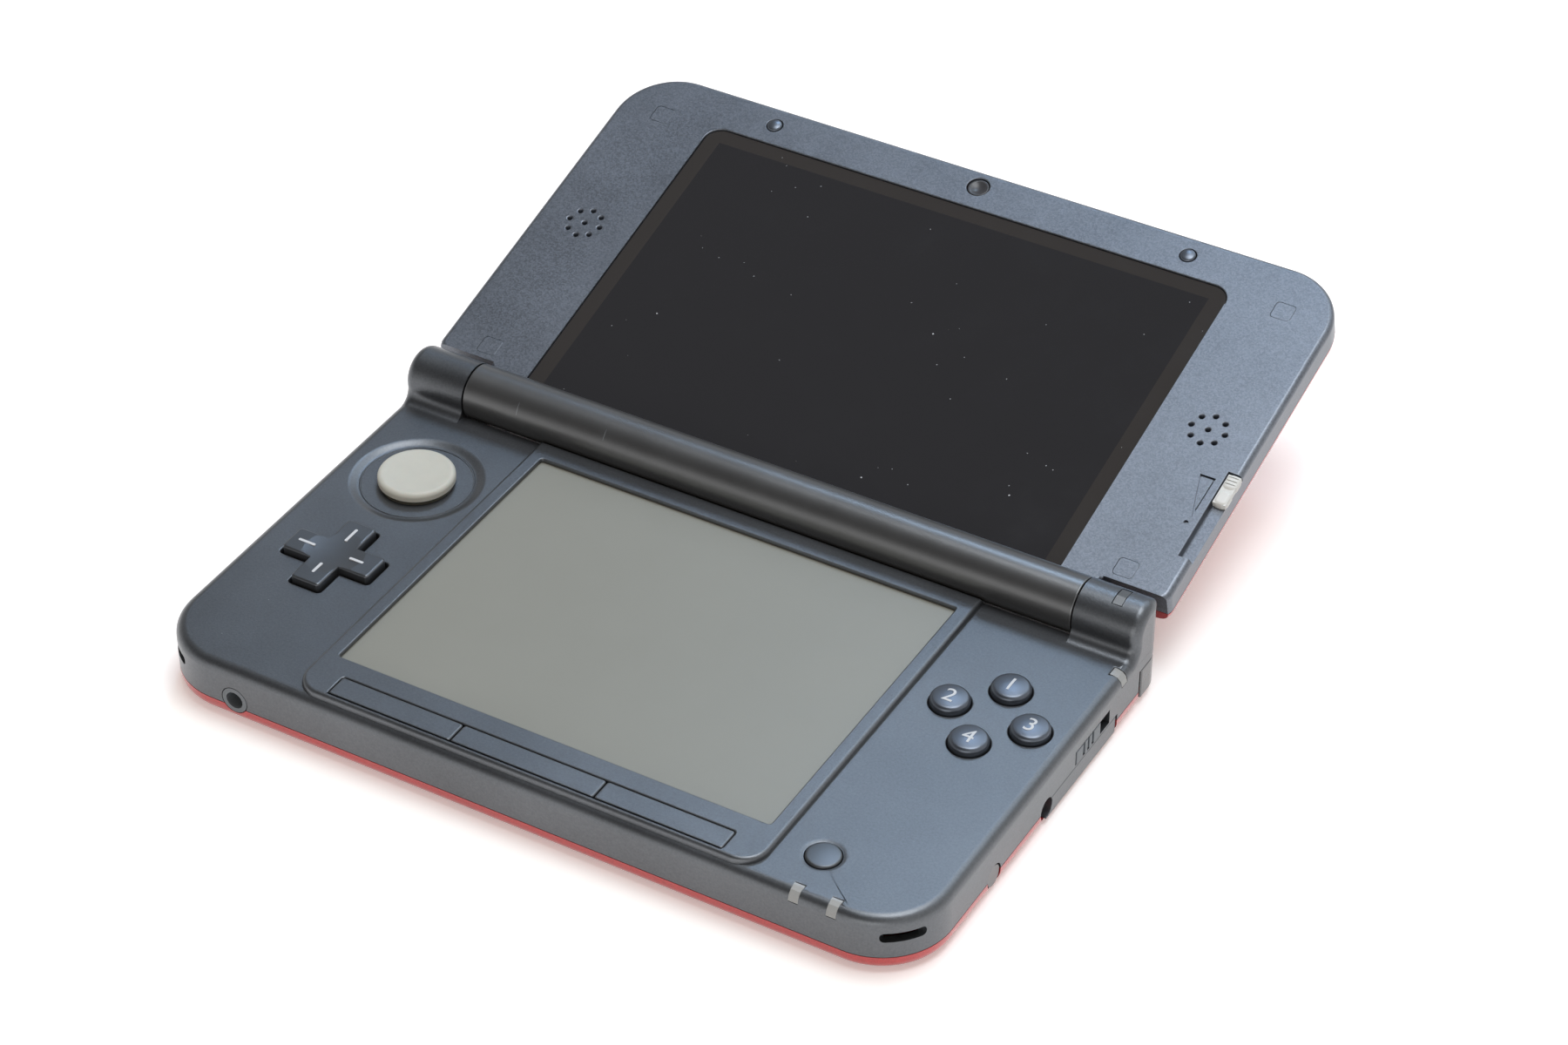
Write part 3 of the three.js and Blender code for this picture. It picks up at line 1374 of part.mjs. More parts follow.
function buildLid() {
  lidPiece("lid_bezel", lidBezel(), finishes.bezelPlastic);
  lidPiece("lid_outer_cover", lidOuterCover(), finishes.redCover);
  lidPiece("upper_glass", slab(glassOutline(0), glassLow, glassTop), finishes.upperGlass);
  const displayTop = bezelLow - gap;
  const display = displayBox(upperDisplayMargin, displayTop - upperDisplayThickness, displayTop);
  lidPiece("upper_display", display, finishes.upperDisplayMetal);
  for (const [side, word] of [[-1, "left"], [1, "right"]]) {
    const top = bezelLow - gap;
    const low = top - speakerThickness;
    const speaker = drumZ(speakerRadius, low, top, side * speakerX, speakerY, buttonSides);
    lidPiece(`speaker_${word}`, speaker, finishes.speakerMetal);
    lidPiece(`outer_camera_${word}`, outerCamera(side), finishes.outerLens);
    lidPiece(`lid_bumper_${word}`, bumper(side), finishes.bumperPlastic);
  }
  lidPiece("inner_camera", innerCamera(), finishes.innerLens);
  for (const [name, x, y] of screwCoverPlaces()) {
    const cover = screwCoverBlock(x, y, 0, bezelRise - inlayDepth, bezelRise);
    lidPiece(name, cover, finishes.screwCoverPlastic);
  }
  lidPiece("ribbon_cable", ribbonBox(0, 0), finishes.flexFilm);
  lidPiece("depth_slider", depthSlider(), finishes.sliderPlastic);
}

buildBase();
buildButtons();
buildLeftControls();
buildSideParts();
buildLid();

export default model;
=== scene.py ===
"""Looks of a clamshell handheld game console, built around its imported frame."""

import json
import math

import bmesh
import bpy
from bpy.props import FloatProperty, FloatVectorProperty, PointerProperty
from mathutils import Euler, Matrix, Vector


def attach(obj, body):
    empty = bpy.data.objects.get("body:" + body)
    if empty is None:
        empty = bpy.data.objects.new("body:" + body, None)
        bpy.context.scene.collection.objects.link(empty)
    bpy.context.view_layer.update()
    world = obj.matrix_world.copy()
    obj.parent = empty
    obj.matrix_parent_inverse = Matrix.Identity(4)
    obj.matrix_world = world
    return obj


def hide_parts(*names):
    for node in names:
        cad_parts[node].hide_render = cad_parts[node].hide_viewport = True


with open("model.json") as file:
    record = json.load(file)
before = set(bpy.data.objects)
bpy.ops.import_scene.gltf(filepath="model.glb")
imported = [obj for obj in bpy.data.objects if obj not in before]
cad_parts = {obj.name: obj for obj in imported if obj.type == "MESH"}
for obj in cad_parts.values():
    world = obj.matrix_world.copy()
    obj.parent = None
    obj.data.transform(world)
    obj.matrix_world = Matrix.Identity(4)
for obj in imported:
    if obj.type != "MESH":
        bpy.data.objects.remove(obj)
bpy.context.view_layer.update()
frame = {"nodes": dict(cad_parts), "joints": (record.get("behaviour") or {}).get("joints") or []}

bl_info = {
    "name": "Clamshell Console",
    "version": (1, 0, 0),
    "blender": (4, 5, 0),
    "location": "View3D > Sidebar > Console",
    "description": "Builds the shells, screens, controls and finishes of a clamshell console",
    "category": "Add Mesh",
}

# Pieces are modelled in millimetres and finished in metres
MM = 0.001
TINY = 0.0005
CORNER_STEPS = 20
EDGE_STEPS = 6
RIM_STEPS = 3
ROUND_STEPS = 72
SHARP = math.radians(40)


# Sizes and colours


def length(name, description, millimetres):
    """A length property whose default is given in millimetres."""
    return FloatProperty(
        name=name, description=description, default=millimetres * MM, unit="LENGTH", precision=5
    )


def colour(name, description, red, green, blue):
    """A colour property whose default is given in 8-bit display values."""
    return FloatVectorProperty(
        name=name,
        description=description,
        default=[linear(value) for value in (red, green, blue)],
        subtype="COLOR",
        min=0,
        max=1,
    )


def linear(value):
    """An 8-bit display value as scene-linear light."""
    share = value / 255
    return share / 12.92 if share <= 0.04045 else ((share + 0.055) / 1.055) ** 2.4


class InMillimetres:
    """Reads a property group's lengths in millimetres."""

    def __init__(self, group):
        self._group = group

    def __getattr__(self, name):
        return getattr(self._group, name) / MM


class BaseSizes(bpy.types.PropertyGroup):
    """Lengths of the base's shells"""

    half_width: length("Half width", "From the middle to a side wall", 78)
    front: length("Front", "Place of the front wall", -46.5)
    rear: length("Rear", "Place of the rear wall", 46.5)
    front_corner: length("Front corner", "Radius of the front corners", 13.5)
    rear_corner: length("Rear corner", "Radius of the rear corners", 5)
    wall: length("Wall", "Thickness of the side walls", 1.6)
    parting: length("Parting", "Height of the joint between both shells", 3.7)
    seam: length("Seam", "Width of the joint between shells", 0.15)
    deck_top: length("Deck top", "Height of the deck", 12.2)
    deck_low: length("Deck underside", "Height of the underside of the deck", 10.6)
    deck_round: length("Deck round", "Radius of the deck's outer edge", 2)
    frame_top: length("Frame top", "Height of the raised screen frame", 13.4)
    frame_half_width: length("Frame half width", "Half the screen frame's width", 47.1)
    frame_front: length("Frame front", "Place of the frame's front edge", -45.2)
    frame_corner: length("Frame corner", "Radius of the frame's front corners", 5)
    frame_round: length("Frame round", "Radius of the frame's upper edge", 0.8)
    floor: length("Floor", "Thickness of the underside", 1.2)
    cover_wall: length("Cover wall", "Thickness of the bottom cover's sides", 1.8)
    cover_round_height: length("Cover round height", "Height of the cover's curved edge", 2.6)
    cover_round_inset: length("Cover round inset", "Width of the cover's curved edge", 4)
    bay_low: length("Bay floor", "Height of the lowest inner parts", 1.5)


class ScreenSizes(bpy.types.PropertyGroup):
    """Lengths of both screens"""

    half_width: length("Touch screen half width", "Half of the lower opening", 44.1)
    front: length("Touch screen front", "Front edge of the lower opening", -34.9)
    rear: length("Touch screen rear", "Rear edge of the lower opening", 31.5)
    corner: length("Touch screen corner", "Corner radius of the lower opening", 0.6)
    border: length("Panel border", "How far the panel lies under its frame", 1.9)
    panel_low: length("Panel underside", "Height of the touch panel's underside", 11.4)
    panel_top: length("Panel top", "Height of the touch panel's top", 12.4)
    lip_low: length("Lip underside", "Height of the lip over the panel", 12.7)
    glass_half_width: length("Glass half width", "Half the upper glass", 57)
    glass_far: length("Glass far edge", "Far edge of the upper glass", 77.8)
    glass_corner: length("Glass corner", "Radius of the glass's far corners", 3.5)
    glass_low: length("Glass underside", "Height of the glass's underside", -0.5)
    glass_top: length("Glass top", "Height of the glass's top", 0.3)


class HingeSizes(bpy.types.PropertyGroup):
    """Lengths of the hinge"""

    y: length("Axis place", "Distance of the axis from the middle", 41.1)
    z: length("Axis height", "Height of the axis above the table", 15.42)
    barrel: length("Barrel radius", "Radius of the lid's barrel", 5.4)
    barrel_half: length("Barrel half length", "Half the barrel's length", 64.7)
    fillet: length("Knuckle fillet", "Curve from the deck up to a knuckle", 2.2)
    end_round: length("Knuckle end round", "Curve of a knuckle's outer end", 2)
    trough_gap: length("Trough gap", "Room round the barrel", 0.4)
    trough_wall: length("Trough wall", "Wall below the barrel", 1.2)
    pin: length("Pin radius", "Radius of the hinge pins", 3)
    pin_inset: length("Pin inset", "From a knuckle's end to its bore", 2.2)
    pin_reach: length("Pin reach", "How far a pin enters the barrel", 7)


class LidSizes(bpy.types.PropertyGroup):
    """Lengths of the lid, in its own plane"""

    near: length("Near edge", "Near edge of the lid", 5.7)
    far: length("Far edge", "Far edge of the lid", 87.4)
    near_corner: length("Near corner", "Radius of the near corners", 2.8)
    far_corner: length("Far corner", "Radius of the far corners", 12.5)
    outer: length("Outer face", "Height of the outer face", -6.6)
    parting: length("Parting", "Height of the joint between the lid's shells", -4.1)
    top: length("Bezel top", "Height of the inner face", 0.7)
    bezel_low: length("Bezel underside", "Underside of the bezel", -1.5)
    bezel_round: length("Bezel round", "Radius of the bezel's edge", 1.2)
    wall: length("Wall", "Thickness of the lid's sides", 1.4)
    bridge_low: length("Bridge underside", "Underside of the web to the barrel", -3.6)
    cover_floor: length("Cover floor", "Inner face of the outer cover", -5.4)
    cover_inset: length("Cover round inset", "Width of the outer cover's curved edge", 2.5)


class ControlSizes(bpy.types.PropertyGroup):
    """Lengths and places of the controls"""

    pad_x: length("Circle pad side", "Place of the circle pad", -61.5)
    pad_y: length("Circle pad front", "Place of the circle pad", 15.5)
    pad_radius: length("Circle pad radius", "Radius of the circle pad", 7.35)
    dish_radius: length("Dish radius", "Radius of the circle pad's dish", 10.85)
    dish_slope: length("Dish slope", "Width of the slope round the dish", 2.1)
    cross_y: length("Cross key front", "Place of the cross key", -11.4)
    cross_reach: length("Cross reach", "From the middle to an arm's end", 9.4)
    cross_half: length("Cross half width", "Half an arm's width", 3.1)
    face_x: length("Face button side", "Middle of the face buttons", 62.6)
    face_y: length("Face button front", "Middle of the face buttons", 9.2)
    face_spread: length("Face button spread", "From the middle to a button", 7.9)
    face_radius: length("Face button radius", "Radius of a face button", 3.65)
    power_x: length("Power button side", "Place of the power button", 54.9)
    power_y: length("Power button front", "Place of the power button", -35.8)
    power_radius: length("Power button radius", "Radius of the power button", 3.2)
    menu_half: length("Menu row half width", "Half the row of menu buttons", 40.1)
    menu_inner: length("Menu middle half width", "Half the middle menu button", 14.6)
    menu_front: length("Menu front", "Front edge of the menu buttons", -44.2)
    menu_rear: length("Menu rear", "Rear edge of the menu buttons", -39.2)
    clearance: length("Button clearance", "Room round a button", 0.2)
    flange_low: length("Flange underside", "Underside of the buttons' flanges", 9.3)
    flange_top: length("Flange top", "Top of the buttons' flanges", 10.3)


class Finishes(bpy.types.PropertyGroup):
    """Colours of the finishes"""

    deck: colour("Deck", "Satin pearl paint of the base", 94, 97, 101)
    bezel: colour("Bezel", "Pearl paint of the lid's inner face", 108, 113, 121)
    barrel: colour("Barrel", "Plastic of the hinge barrel", 112, 113, 114)
    cover: colour("Cover", "Painted outer covers", 178, 48, 50)
    button: colour("Buttons", "Face and power buttons", 98, 104, 113)
    pad: colour("Circle pad", "Rubber of the circle pad", 180, 182, 175)
    touch: colour("Touch screen", "Film over the lower screen", 130, 132, 126)
    glass: colour("Upper glass", "Tinted upper glass", 34, 34, 37)
    slider: colour("Depth slider", "Pale slider on the lid", 202, 205, 204)
    marking: colour("Marking", "Printed numerals and lines", 190, 195, 201)
    pipe: colour("Light pipe", "Clouded plastic of the light pipes", 148, 151, 152)
    rubber: colour("Membrane", "Silicone membranes", 138, 141, 143)
    board: colour("Board", "Circuit board laminate", 24, 82, 52)


class ConsoleSettings(bpy.types.PropertyGroup):
    """All sizes and finishes of the console"""

    base: PointerProperty(type=BaseSizes)
    screens: PointerProperty(type=ScreenSizes)
    hinge: PointerProperty(type=HingeSizes)
    lid: PointerProperty(type=LidSizes)
    controls: PointerProperty(type=ControlSizes)
    finishes: PointerProperty(type=Finishes)


def sizes(group):
    return InMillimetres(getattr(bpy.context.scene.console, group))


def tint(name):
    return (*getattr(bpy.context.scene.console.finishes, name), 1)


# Modelling


def block(left, right, front, rear, low, high):
    shape = bmesh.new()
    bmesh.ops.create_cube(shape, size=1)
    bmesh.ops.scale(shape, vec=(right - left, rear - front, high - low), verts=shape.verts)
    centre = Vector((left + right, front + rear, low + high)) / 2
    bmesh.ops.translate(shape, vec=centre, verts=shape.verts)
    return shape


def round_edges(shape, edges, radius, steps):
    if edges:
        bmesh.ops.bevel(
            shape,
            geom=edges,
            offset=radius,
            offset_type="OFFSET",
            segments=steps,
            profile=0.5,
            affect="EDGES",
            clamp_overlap=False,
            material=-1,
        )


def edges_where(shape, keep):
    """Edges of which both ends pass the test."""
    return [edge for edge in shape.edges if all(keep(vert.co) for vert in edge.verts)]


def upright_edges(shape, side, middle):
    """Upright edges of a block, before (-1) or behind (1) its middle."""
    found = []
    for edge in shape.edges:
        start, end = (vert.co for vert in edge.verts)
        if (start.xy - end.xy).length < TINY and (start.y - middle) * side > 0:
            found.append(edge)
    return found


def plate(
    left, right, front, rear, low, high, corner=0, rear_corner=None, top=0, bottom=0, inset_round=0
):
    """A block with rounded corners, and a round at its upper or lower edge.

    The round may be wider than it is high.
    """
    shape = block(left, right, front, rear, low, high)
    if rear_corner is None:
        rear_corner = corner
    for side, radius in ((-1, corner), (1, rear_corner)):
        if radius > 0:
            corners = upright_edges(shape, side, (front + rear) / 2)
            round_edges(shape, corners, radius, CORNER_STEPS)
    for height, level in ((top, high), (bottom, low)):
        if height > 0:
            stretch = (inset_round or height) / height
            bmesh.ops.scale(shape, vec=(1, 1, stretch), verts=shape.verts)
            loop = edges_where(shape, lambda place: abs(place.z - level * stretch) < TINY)
            round_edges(shape, loop, inset_round or height, EDGE_STEPS)
            bmesh.ops.scale(shape, vec=(1, 1, 1 / stretch), verts=shape.verts)
    return shape


def arc(centre, radius, start, end, steps):
    """Points of an arc, its angles in degrees."""
    points = []
    for step in range(steps + 1):
        angle = math.radians(start + (end - start) * step / steps)
        points.append((centre[0] + radius * math.cos(angle), centre[1] + radius * math.sin(angle)))
    return points


def turned(profile, x=0, y=0, steps=ROUND_STEPS):
    """A profile of radius and height turned about an upright axis."""
    shape = bmesh.new()
    points = [shape.verts.new((radius, 0, height)) for radius, height in profile]
    lines = [shape.edges.new(pair) for pair in zip(points, points[1:])]
    bmesh.ops.spin(
        shape,
        geom=points + lines,
        cent=(0, 0, 0),
        axis=(0, 0, 1),
        angle=2 * math.pi,
        steps=steps,
        use_merge=True,
    )
    bmesh.ops.remove_doubles(shape, verts=shape.verts, dist=TINY)
    bmesh.ops.recalc_face_normals(shape, faces=shape.faces)
    bmesh.ops.translate(shape, vec=(x, y, 0), verts=shape.verts)
    return shape


def drum(radius, low, high, x, y, steps=ROUND_STEPS):
    """An upright cylinder."""
    return turned([(0, low), (radius, low), (radius, high), (0, high)], x, y, steps)


def lying_drum(radius, start, end, across, z, axis, steps=ROUND_STEPS):
    """A cylinder along X or Y, at a place across it and a height."""
    shape = drum(radius, start, end, 0, 0, steps)
    angles = (0, math.pi / 2, 0) if axis == "X" else (-math.pi / 2, 0, 0)
    bmesh.ops.rotate(shape, matrix=Euler(angles).to_matrix(), verts=shape.verts)
    place = (0, across, z) if axis == "X" else (across, 0, z)
    bmesh.ops.translate(shape, vec=place, verts=shape.verts)
    return shape


def extruded(outline, push):
    """A closed outline of points pushed into a solid."""
    shape = bmesh.new()
    face = shape.faces.new([shape.verts.new(point) for point in outline])
    grown = bmesh.ops.extrude_face_region(shape, geom=[face])
    new = [item for item in grown["geom"] if isinstance(item, bmesh.types.BMVert)]
    bmesh.ops.translate(shape, vec=push, verts=new)
    bmesh.ops.recalc_face_normals(shape, faces=shape.faces)
    return shape


def mirrored(shape):
    """A copy of a shape on the other side of the middle."""
    twin = shape.copy()
    bmesh.ops.scale(twin, vec=(-1, 1, 1), verts=twin.verts)
    bmesh.ops.reverse_faces(twin, faces=twin.faces)
    return twin


def combine(body, operation, *tools):
    """A shape joined with, cut by or kept inside others, which are used up."""
    made = []
    for shape in (body, *tools):
        mesh = bpy.data.meshes.new("blank")
        shape.to_mesh(mesh)
        shape.free()
        made.append(bpy.data.objects.new("blank", mesh))
        bpy.context.scene.collection.objects.link(made[-1])
    blank = made[0]
    for tool in made[1:]:
        step = blank.modifiers.new("step", "BOOLEAN")
        step.operation, step.solver, step.object = operation, "EXACT", tool
    result = bmesh.new()
    result.from_object(blank, bpy.context.evaluated_depsgraph_get())
    for worked in made:
        mesh = worked.data
        bpy.data.objects.remove(worked)
        bpy.data.meshes.remove(mesh)
    bmesh.ops.remove_doubles(result, verts=result.verts, dist=TINY)
    bmesh.ops.dissolve_degenerate(result, edges=result.edges, dist=TINY)
    loose = [edge for edge in result.edges if edge.is_wire]
    bmesh.ops.delete(result, geom=loose, context="EDGES")
    return result


def join(body, *others):
    return combine(body, "UNION", *others)


def cut(body, *tools):
    return combine(body, "DIFFERENCE", *tools)


def soften(shape, width, on_surface, steps=RIM_STEPS):
    """Breaks the sharp outward edges that lie on a surface."""
    rims = []
    for edge in edges_where(shape, on_surface):
        if len(edge.link_faces) == 2 and edge.is_convex and edge.calc_face_angle(0) > SHARP:
            rims.append(edge)
    round_edges(shape, rims, width, steps)
    return shape


def level(*heights):
    """A test for places at one of some heights."""
    return lambda place: any(abs(place.z - height) < 10 * TINY for height in heights)


def everywhere(place):
    return True


def node_shape(name):
    """A merged copy of a CAD node's mesh, in millimetres."""
    shape = bmesh.new()
    shape.from_mesh(frame["nodes"][name].data)
    bmesh.ops.scale(shape, vec=(1 / MM,) * 3, verts=shape.verts)
    bmesh.ops.remove_doubles(shape, verts=shape.verts, dist=TINY)
    bmesh.ops.dissolve_limit(
        shape, angle_limit=math.radians(0.5), verts=shape.verts, edges=shape.edges
    )
    return shape


def lid_place():
    """Where the lid's own plane lies: its hinge axis and its angle."""
    depth = next(joint for joint in frame["joints"] if joint["name"] == "depth_slide")
    along = Vector(depth["axis"])
    tilt = math.atan2(along.z, along.y)
    hinge = sizes("hinge")
    return Matrix.Translation((0, hinge.y, hinge.z)) @ Matrix.Rotation(tilt, 4, "X")


def settle(shape, name, body, finishes, replaces=None, on_lid=False, paint=None):
    """Makes a finished piece of a shape: in place, in metres, on its body, with its finishes."""
    if on_lid:
        bmesh.ops.transform(shape, matrix=lid_place(), verts=shape.verts)
    bmesh.ops.scale(shape, vec=(MM,) * 3, verts=shape.verts)
    mesh = bpy.data.meshes.new(name)
    shape.to_mesh(mesh)
    shape.free()
    for finish in [finishes] if isinstance(finishes, str) else finishes:
        mesh.materials.append(finish_of(finish))
    if paint:
        for face in mesh.polygons:
            face.material_index = paint(face.center / MM)
    mesh.shade_smooth()
    mesh.set_sharp_from_angle(angle=SHARP)
    piece = bpy.data.objects.new(name, mesh)
    bpy.context.scene.collection.objects.link(piece)
    weights = piece.modifiers.new("even_normals", "WEIGHTED_NORMAL")
    weights.keep_sharp = True
    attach(piece, body)
    if replaces:
        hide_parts(replaces)
    return piece


# Finishes


class Value:
    """A node's output that takes part in sums, each of which adds a Math node."""

    def __init__(self, tree, socket):
        self.tree = tree
        self.socket = socket

    def _math(self, operation, *terms):
        return add_node(self.tree, "Math", {"operation": operation}, dict(enumerate(terms)))

    def __add__(self, other):
        return self._math("ADD", self, other)

    def __radd__(self, other):
        return self._math("ADD", other, self)

    def __sub__(self, other):
        return self._math("SUBTRACT", self, other)

    def __rsub__(self, other):
        return self._math("SUBTRACT", other, self)

    def __mul__(self, other):
        return self._math("MULTIPLY", self, other)

    def __rmul__(self, other):
        return self._math("MULTIPLY", other, self)

    def above(self, other):
        return self._math("GREATER_THAN", self, other)

    def below(self, other):
        return self._math("LESS_THAN", self, other)

    def size(self):
        return self._math("ABSOLUTE", self)

    def ramp(self, low, high):
        """0 below the first value and 1 above the second."""
        ends = {"Value": self, "From Min": low, "From Max": high}
        return add_node(self.tree, "MapRange", sockets=ends)


def fill(tree, place, value):
    """Links a value to a socket, or sets a constant on it."""
    if isinstance(value, Value):
        tree.links.new(value.socket, place)
    else:
        place.default_value = value


def add_node(tree, kind, settings=None, sockets=None, output=0):
    """A new node with its settings, its constants and links, and one of its outputs."""
    node = tree.nodes.new(f"ShaderNode{kind}")
    for name, value in (settings or {}).items():
        setattr(node, name, value)
    for name, value in (sockets or {}).items():
        fill(tree, node.inputs[name], value)
    return Value(tree, node.outputs[output])


class Finish:
    """A new material round one Principled BSDF."""

    def __init__(self, name, **constants):
        self.material = bpy.data.materials.new(name)
        self.material.use_nodes = True
        self.tree = self.material.node_tree
        self.shader = self.tree.nodes["Principled BSDF"]
        for word, value in constants.items():
            self.feed(word.replace("_", " ").title().replace("Ior", "IOR"), value)

    def feed(self, socket, value):
        fill(self.tree, self.shader.inputs[socket], value)

    def node(self, kind, settings=None, sockets=None, output=0):
        return add_node(self.tree, kind, settings, sockets, output)

    def places(self, turn=0, stretch=(1, 1, 1)):
        """Object coordinates in millimetres, turned about Z and stretched."""
        start = self.node("TexCoord", output="Object")
        scale = [1 / (MM * amount) for amount in stretch]
        turned_by = (0, 0, math.radians(turn))
        return self.node(
            "Mapping", sockets={"Vector": start, "Rotation": turned_by, "Scale": scale}
        )

    def noise(self, grain, detail=2, roughness=0.5, turn=0, stretch=(1, 1, 1)):
        """Smooth noise whose features are about as wide as the grain, in millimetres."""
        return self.node(
            "TexNoise",
            sockets={
                "Vector": self.places(turn, stretch),
                "Scale": 1 / grain,
                "Detail": detail,
                "Roughness": roughness,
            },
        )

    def specks(self, spacing, radius, share, turn=0, stretch=(1, 1, 1)):
        """1 in small spots or streaks at random places, 0 elsewhere."""
        cells = {
            "Vector": self.places(turn, stretch), "Scale": 1 / spacing, "Randomness": 1,
        }
        distance = self.node("TexVoronoi", sockets=cells, output="Distance")
        chance = self.node("TexWhiteNoise", sockets={
            "Vector": self.node("TexVoronoi", sockets=cells, output="Position"),
        })
        return distance.below(radius / spacing) * chance.below(share)

    def blend(self, share, low, high):
        """One colour passing into another as the share rises from 0 to 1."""
        return self.node("Mix", {"data_type": "RGBA"}, {0: share, 6: low, 7: high}, 2)

    def bump(self, height, depth, strength=1):
        """Feeds the normal from a height, whose full depth is given in millimetres."""
        normal = self.node(
            "Bump", sockets={"Height": height, "Distance": depth * MM, "Strength": strength}
        )
        self.feed("Normal", normal)


def shade(rgba, amount):
    """A colour made lighter (above 1) or darker (below 1)."""
    return (*(min(1, part * amount) for part in rgba[:3]), 1)


def moulded(name, rgba, roughness, grain=0.22, depth=0.012, wear=0.12, **constants):
    """Moulded plastic: spark-eroded grain, cloudy handling marks and faint rubbed patches."""
    finish = Finish(name, **constants)
    cloud = finish.noise(26, detail=3)
    fine = finish.noise(grain, detail=2, roughness=0.6)
    rubbed = finish.noise(7, detail=4, roughness=0.7).ramp(0.55, 0.78)
    tone = cloud * 0.6 + fine * 0.4
    finish.feed("Base Color", finish.blend(tone, shade(rgba, 0.86), shade(rgba, 1.16)))
    finish.feed("Roughness", roughness + (cloud - 0.5) * wear - rubbed * (wear * 0.35))
    finish.bump(fine, depth)
    return finish.material


def deck_plastic():
    """Satin blue-black pearl paint with a fine grain and a little dust."""
    rgba = tint("deck")
    finish = Finish("deck_plastic", metallic=0.85, coat_weight=0.4, coat_roughness=0.3)
    cloud = finish.noise(30, detail=3)
    fine = finish.noise(0.45, detail=4, roughness=0.75)
    dust = finish.specks(5.5, 0.1, 0.22)
    tone = cloud * 0.45 + fine * 0.55
    plain = finish.blend(tone, shade(rgba, 0.3), shade(rgba, 1.7))
    finish.feed("Base Color", finish.blend(dust * 0.5, plain, tint("marking")))
    finish.feed("Roughness", 0.39 + (cloud - 0.5) * 0.1 + dust * 0.3)
    finish.bump(fine, 0.03)
    return finish.material


def bezel_paint():
    """Painted plastic with fine metallic flakes and soft handling marks."""
    rgba = tint("bezel")
    finish = Finish("bezel_paint", metallic=0.85, coat_roughness=0.35)
    flakes = finish.node(
        "TexVoronoi", sockets={"Vector": finish.places(), "Scale": 1 / 0.28}, output="Color"
    )
    sparkle = finish.node("SeparateColor", sockets={"Color": flakes})
    cloud = finish.noise(24, detail=4, roughness=0.6)
    fine = finish.noise(0.3, detail=3, roughness=0.6)
    tone = cloud * 0.4 + sparkle * 0.35 + fine * 0.25
    finish.feed("Base Color", finish.blend(tone, shade(rgba, 0.5), shade(rgba, 1.46)))
    finish.feed("Roughness", 0.4 + (cloud - 0.5) * 0.16 + (sparkle - 0.5) * 0.08)
    finish.feed("Coat Weight", 0.25 + cloud * 0.2)
    finish.bump(fine, 0.014)
    return finish.material


def barrel_plastic():
    """Rubbed near-black plastic with fine scratches along and round the barrel."""
    rgba = tint("barrel")
    finish = Finish("barrel_plastic", metallic=0.85)
    cloud = finish.noise(9, detail=4, roughness=0.65)
    fine = finish.noise(0.2, detail=2)
    scratches = finish.specks(3.2, 0.15, 0.3, stretch=(0.5, 9, 9))
    along = finish.specks(3, 0.12, 0.15, stretch=(6, 0.5, 0.5))
    marks = scratches * 0.4 + along * 0.2
    plain = finish.blend(cloud, shade(rgba, 0.88), shade(rgba, 1.12))
    finish.feed("Base Color", finish.blend(marks, plain, tint("marking")))
    finish.feed("Roughness", 0.33 + (cloud - 0.5) * 0.05 + marks * 0.25)
    finish.bump(fine, 0.004)
    return finish.material


def cover_paint():
    """Glossy metallic paint under a clear coat."""
    rgba = tint("cover")
    finish = Finish("cover_paint", metallic=0.45, coat_roughness=0.12)
    flakes = finish.node(
        "TexVoronoi", sockets={"Vector": finish.places(), "Scale": 1 / 0.16}, output="Color"
    )
    sparkle = finish.node("SeparateColor", sockets={"Color": flakes})
    cloud = finish.noise(30, detail=3)
    scuffs = finish.specks(5, 0.05, 0.12, turn=32, stretch=(4, 0.5, 1))
    tone = sparkle * 0.5 + cloud * 0.5
    finish.feed("Base Color", finish.blend(tone, shade(rgba, 0.7), shade(rgba, 1.35)))
    finish.feed("Roughness", 0.34 + (sparkle - 0.5) * 0.12 + scuffs * 0.2)
    finish.feed("Coat Weight", 1 - scuffs * 0.6 - cloud * 0.1)
    return finish.material


def upper_glass():
    """Tinted glass with dust, smudges, fine scratches and the panel's darker window."""
    rgba = tint("glass")
    finish = Finish("upper_glass", ior=1.5)
    smudge = finish.noise(14, detail=5, roughness=0.65)
    dust = finish.specks(2.2, 0.12, 0.2)
    grit = finish.specks(6, 0.17, 0.3, turn=17)
    hair = finish.specks(6, 0.09, 0.14, turn=38, stretch=(4, 0.9, 1))
    slant = finish.specks(9, 0.09, 0.16, turn=-24, stretch=(5, 0.9, 1))
    marks = dust * 0.4 + grit * 0.7 + hair * 0.2 + slant * 0.25
    lid, screens = sizes("lid"), sizes("screens")
    far = (lid_place() @ Vector((0, screens.glass_far - 3.2, lid.top))).y
    across = finish.node("SeparateXYZ", sockets={"Vector": finish.places()})
    along = finish.node("SeparateXYZ", sockets={"Vector": finish.places()}, output="Y")
    window = across.size().below(53.6) * along.below(far)
    plain = finish.blend(window, (rgba[0] * 1.75, rgba[1] * 1.6, rgba[2] * 1.35, 1), rgba)
    finish.feed("Base Color", finish.blend(marks, plain, tint("marking")))
    finish.feed("Roughness", 0.07 + smudge.ramp(0.45, 0.8) * 0.1 + marks * 0.6)
    return finish.material


